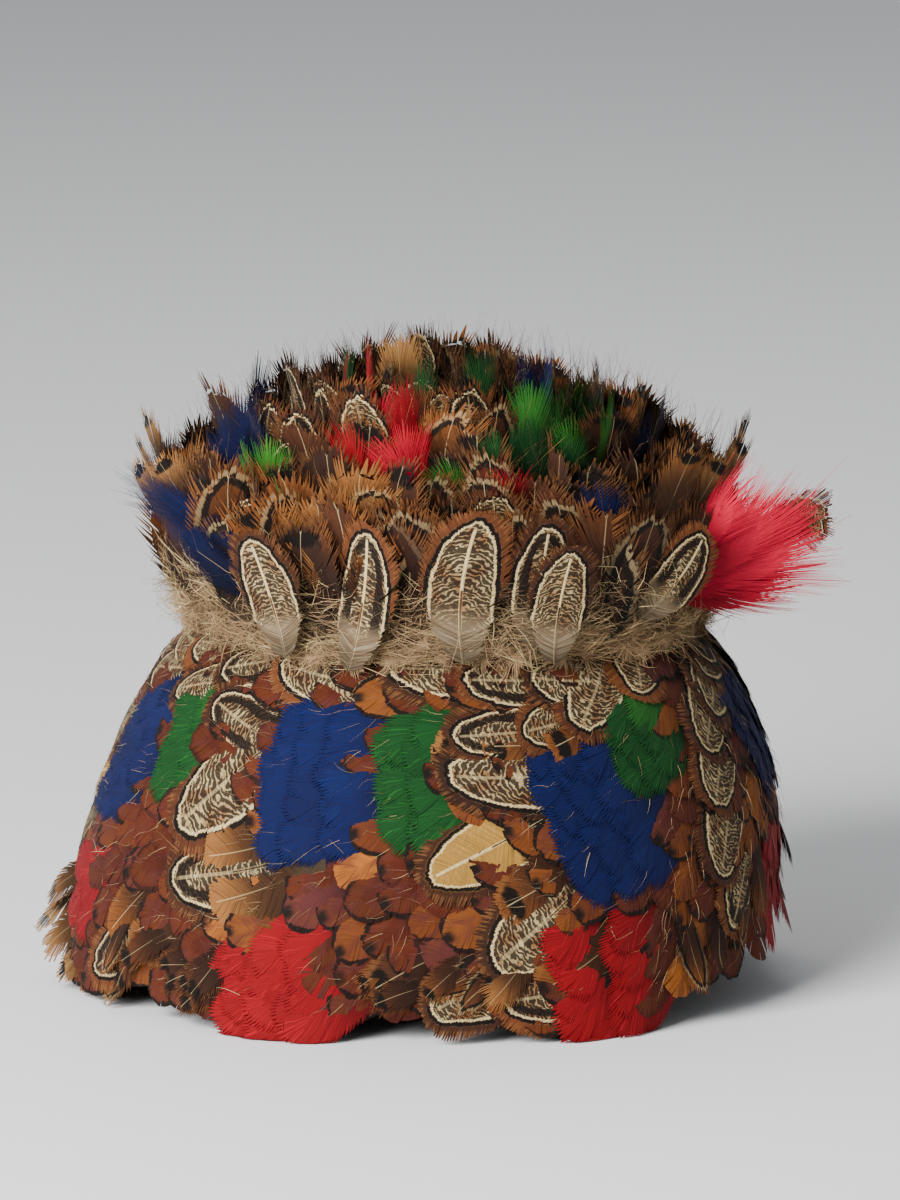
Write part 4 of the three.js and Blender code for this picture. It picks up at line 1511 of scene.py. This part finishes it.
# Plume feathers: root and tip as azimuth, radius and height in mm, width in mm and tint
RED_PLUME = [
    ((58, 108, 172), (70, 132, 209), 26, 0.9),
    ((59, 109, 171), (75, 141, 208), 28, 0.95),
    ((58, 112, 169), (78, 149, 202), 28, 0.9),
    ((58, 112, 167), (80, 153, 193), 30, 1.0),
    ((58, 112, 165), (81, 155, 184), 30, 0.9),
    ((60, 109, 163), (79, 151, 173), 28, 0.85),
    ((60, 108, 161), (76, 143, 165), 24, 0.7),
]
PLUME_TIP = [((78, 132, 192), (81, 155, 192), 20, 0.2), ((78, 132, 188), (80, 154, 185), 18, 0.2)]
BLUE_PLUME = [
    ((-35, 111, 182), (-82, 129, 207), 13, 0.3),
    ((-36, 111, 179), (-78, 128, 199), 12, 0.15),
    ((-36, 111, 177), (-70, 124, 209), 13, 0.35),
    ((-40, 111, 174), (-66, 124, 199), 14, 0.2),
    ((-44, 111, 170), (-60, 121, 197), 15, 0.3),
    ((-46, 111, 167), (-58, 120, 188), 14, 0.1),
]


def plume_feathers(rng, table, facing, bow=0.002, **style):
    rows = [(np.array(foot, float), np.array(tip, float), width, tint) for foot, tip, width, tint in table]
    foot, tip = np.array([row[0] for row in rows]), np.array([row[1] for row in rows])
    root = round_crown(foot[:, 0], foot[:, 1] * MM, foot[:, 2] * MM)
    end = round_crown(tip[:, 0], tip[:, 1] * MM, tip[:, 2] * MM)
    length = np.linalg.norm(end - root, axis=1)
    width = np.array([row[2] for row in rows]) * MM
    made = vanes(rng, length, width, **{"strips": 12, "fringe": 5, **style})
    if facing is None:
        facing = round_crown(foot[:, 0], 1.0, 0.25) - np.array([AXIS.x, AXIS.y, 0])
    facing = np.broadcast_to(np.asarray(facing, float), root.shape) + rng.normal(0, 0.12, root.shape)
    made = aimed(made, root, end, facing, bow, rng.normal(0, 0.002, len(root)))
    return tagged(rng, made, np.array([row[3] for row in rows]), 0.01)


class FEATHERHAT_OT_plumes(bpy.types.Operator):
    """Sets the red tuft at the right and the blue pair at the left"""

    bl_idname = "featherhat.plumes"
    bl_label = "Plumes"

    def execute(self, context):
        rng = np.random.default_rng(67)
        red = plume_feathers(
            rng, RED_PLUME, (0.25, -1, 0.1), web=0.5, ragged=0.09, comb=0.12, shape=(0.84, 0.5, 0.25, 0.45)
        )
        make_piece("red_plume_feathers", [red], "red_feather", ["red_plume"])
        tip = plume_feathers(
            rng, PLUME_TIP, (0.25, -1, 0.1), web=0.6, ragged=0.06, shape=(0.8, 0.5, 0.3, 0.6)
        )
        make_piece("red_plume_barred_tip", [tip], "mottled_feather")
        blue = plume_feathers(
            rng,
            BLUE_PLUME,
            (-0.7, -1, 0.2),
            0.007,
            web=0.42,
            ragged=0.09,
            comb=0.12,
            shape=(0.64, 0.9, 0.3, 0.5),
        )
        make_piece("blue_plume_feathers", [blue], "blue_feather", ["blue_plume"])
        return {"FINISHED"}


class FEATHERHAT_OT_stage(bpy.types.Operator):
    """Sets the pale sweep, the soft lights and the camera"""

    bl_idname = "featherhat.stage"
    bl_label = "Stage"

    def execute(self, context):
        bpy.ops.object.select_all(action="DESELECT")
        bpy.ops.mesh.primitive_plane_add(size=18, location=(0, 0, 0))
        sweep = context.active_object
        sweep.name = "sweep"
        bpy.ops.object.mode_set(mode="EDIT")
        bpy.ops.mesh.select_all(action="DESELECT")
        bpy.ops.object.mode_set(mode="OBJECT")
        for edge in sweep.data.edges:
            edge.select = all(sweep.data.vertices[i].co.y > 8.9 for i in edge.vertices)
        bpy.ops.object.mode_set(mode="EDIT")
        bpy.ops.mesh.extrude_region_move(TRANSFORM_OT_translate={"value": (0, 0, 9)})
        bpy.ops.object.mode_set(mode="OBJECT")
        curve = sweep.modifiers.new("Sweep curve", "BEVEL")
        curve.width, curve.segments = 5, 32
        bpy.ops.object.modifier_apply(modifier=curve.name)
        bpy.ops.object.shade_smooth()
        paper = bpy.data.materials.new("paper")
        paper.use_nodes = True
        surface = paper.node_tree.nodes["Principled BSDF"]
        surface.inputs["Base Color"].default_value = (0.88, 0.88, 0.88, 1)
        surface.inputs["Roughness"].default_value = 0.9
        sweep.data.materials.append(paper)
        lamps = [
            ("key", (-1.4, -1.95, 1.25), 1.5, 196.0),
            ("fill", (1.6, -1.6, 0.9), 1.6, 2.0),
            ("back", (-0.3, 1.2, 2.2), 1.6, 16.0),
        ]
        for name, place, size, power in lamps:
            lamp = bpy.data.lights.new(name, "AREA")
            lamp.size, lamp.energy = size, power
            holder = bpy.data.objects.new(name, lamp)
            holder.location = place
            holder.rotation_euler = (
                Vector((0, 0, 0.12)) - Vector(place)
            ).to_track_quat("-Z", "Y").to_euler()
            context.scene.collection.objects.link(holder)
        world = bpy.data.worlds.new("studio")
        world.use_nodes = True
        world.node_tree.nodes["Background"].inputs[0].default_value = (0.93, 0.96, 1.0, 1)
        world.node_tree.nodes["Background"].inputs[1].default_value = 0.28
        context.scene.world = world
        target = Vector((0.003, 0.0, 0.152))
        lift = math.radians(9.8)
        lens = bpy.data.cameras.new("camera")
        lens.lens, lens.sensor_width, lens.sensor_fit = 75 * DISTANCE, 36, "AUTO"
        camera = bpy.data.objects.new("camera", lens)
        camera.location = target + Vector((0, -math.cos(lift), math.sin(lift))) * DISTANCE
        camera.rotation_euler = (target - camera.location).to_track_quat("-Z", "Y").to_euler()
        context.scene.collection.objects.link(camera)
        context.scene.camera = camera
        return {"FINISHED"}


class FEATHERHAT_PT_panel(bpy.types.Panel):
    """Lists the hat's sizes, colours and pieces"""

    bl_idname = "FEATHERHAT_PT_panel"
    bl_label = "Feather hat"
    bl_space_type = "VIEW_3D"
    bl_region_type = "UI"
    bl_category = "Feather hat"

    def draw(self, context):
        for group in (context.scene.feather_hat_sizes, context.scene.feather_hat_colours):
            for name in group.__annotations__:
                self.layout.prop(group, name)
        for operator in OPERATORS:
            self.layout.operator(operator.bl_idname)


OPERATORS = (
    FEATHERHAT_OT_felt,
    FEATHERHAT_OT_coat,
    FEATHERHAT_OT_patches,
    FEATHERHAT_OT_edge,
    FEATHERHAT_OT_collar,
    FEATHERHAT_OT_crown,
    FEATHERHAT_OT_down,
    FEATHERHAT_OT_plumes,
    FEATHERHAT_OT_stage,
)
CLASSES = (FeatherHatSizes, FeatherHatColours, *OPERATORS, FEATHERHAT_PT_panel)


def register():
    for item in CLASSES:
        bpy.utils.register_class(item)
    bpy.types.Scene.feather_hat_sizes = bpy.props.PointerProperty(type=FeatherHatSizes)
    bpy.types.Scene.feather_hat_colours = bpy.props.PointerProperty(type=FeatherHatColours)


def unregister():
    del bpy.types.Scene.feather_hat_sizes
    del bpy.types.Scene.feather_hat_colours
    for item in reversed(CLASSES):
        bpy.utils.unregister_class(item)


def main():
    register()
    bpy.ops.featherhat.felt()
    bpy.ops.featherhat.coat()
    bpy.ops.featherhat.patches()
    bpy.ops.featherhat.edge()
    bpy.ops.featherhat.collar()
    bpy.ops.featherhat.crown()
    bpy.ops.featherhat.down()
    bpy.ops.featherhat.plumes()
    bpy.ops.featherhat.stage()


if __name__ == "__main__":
    main()
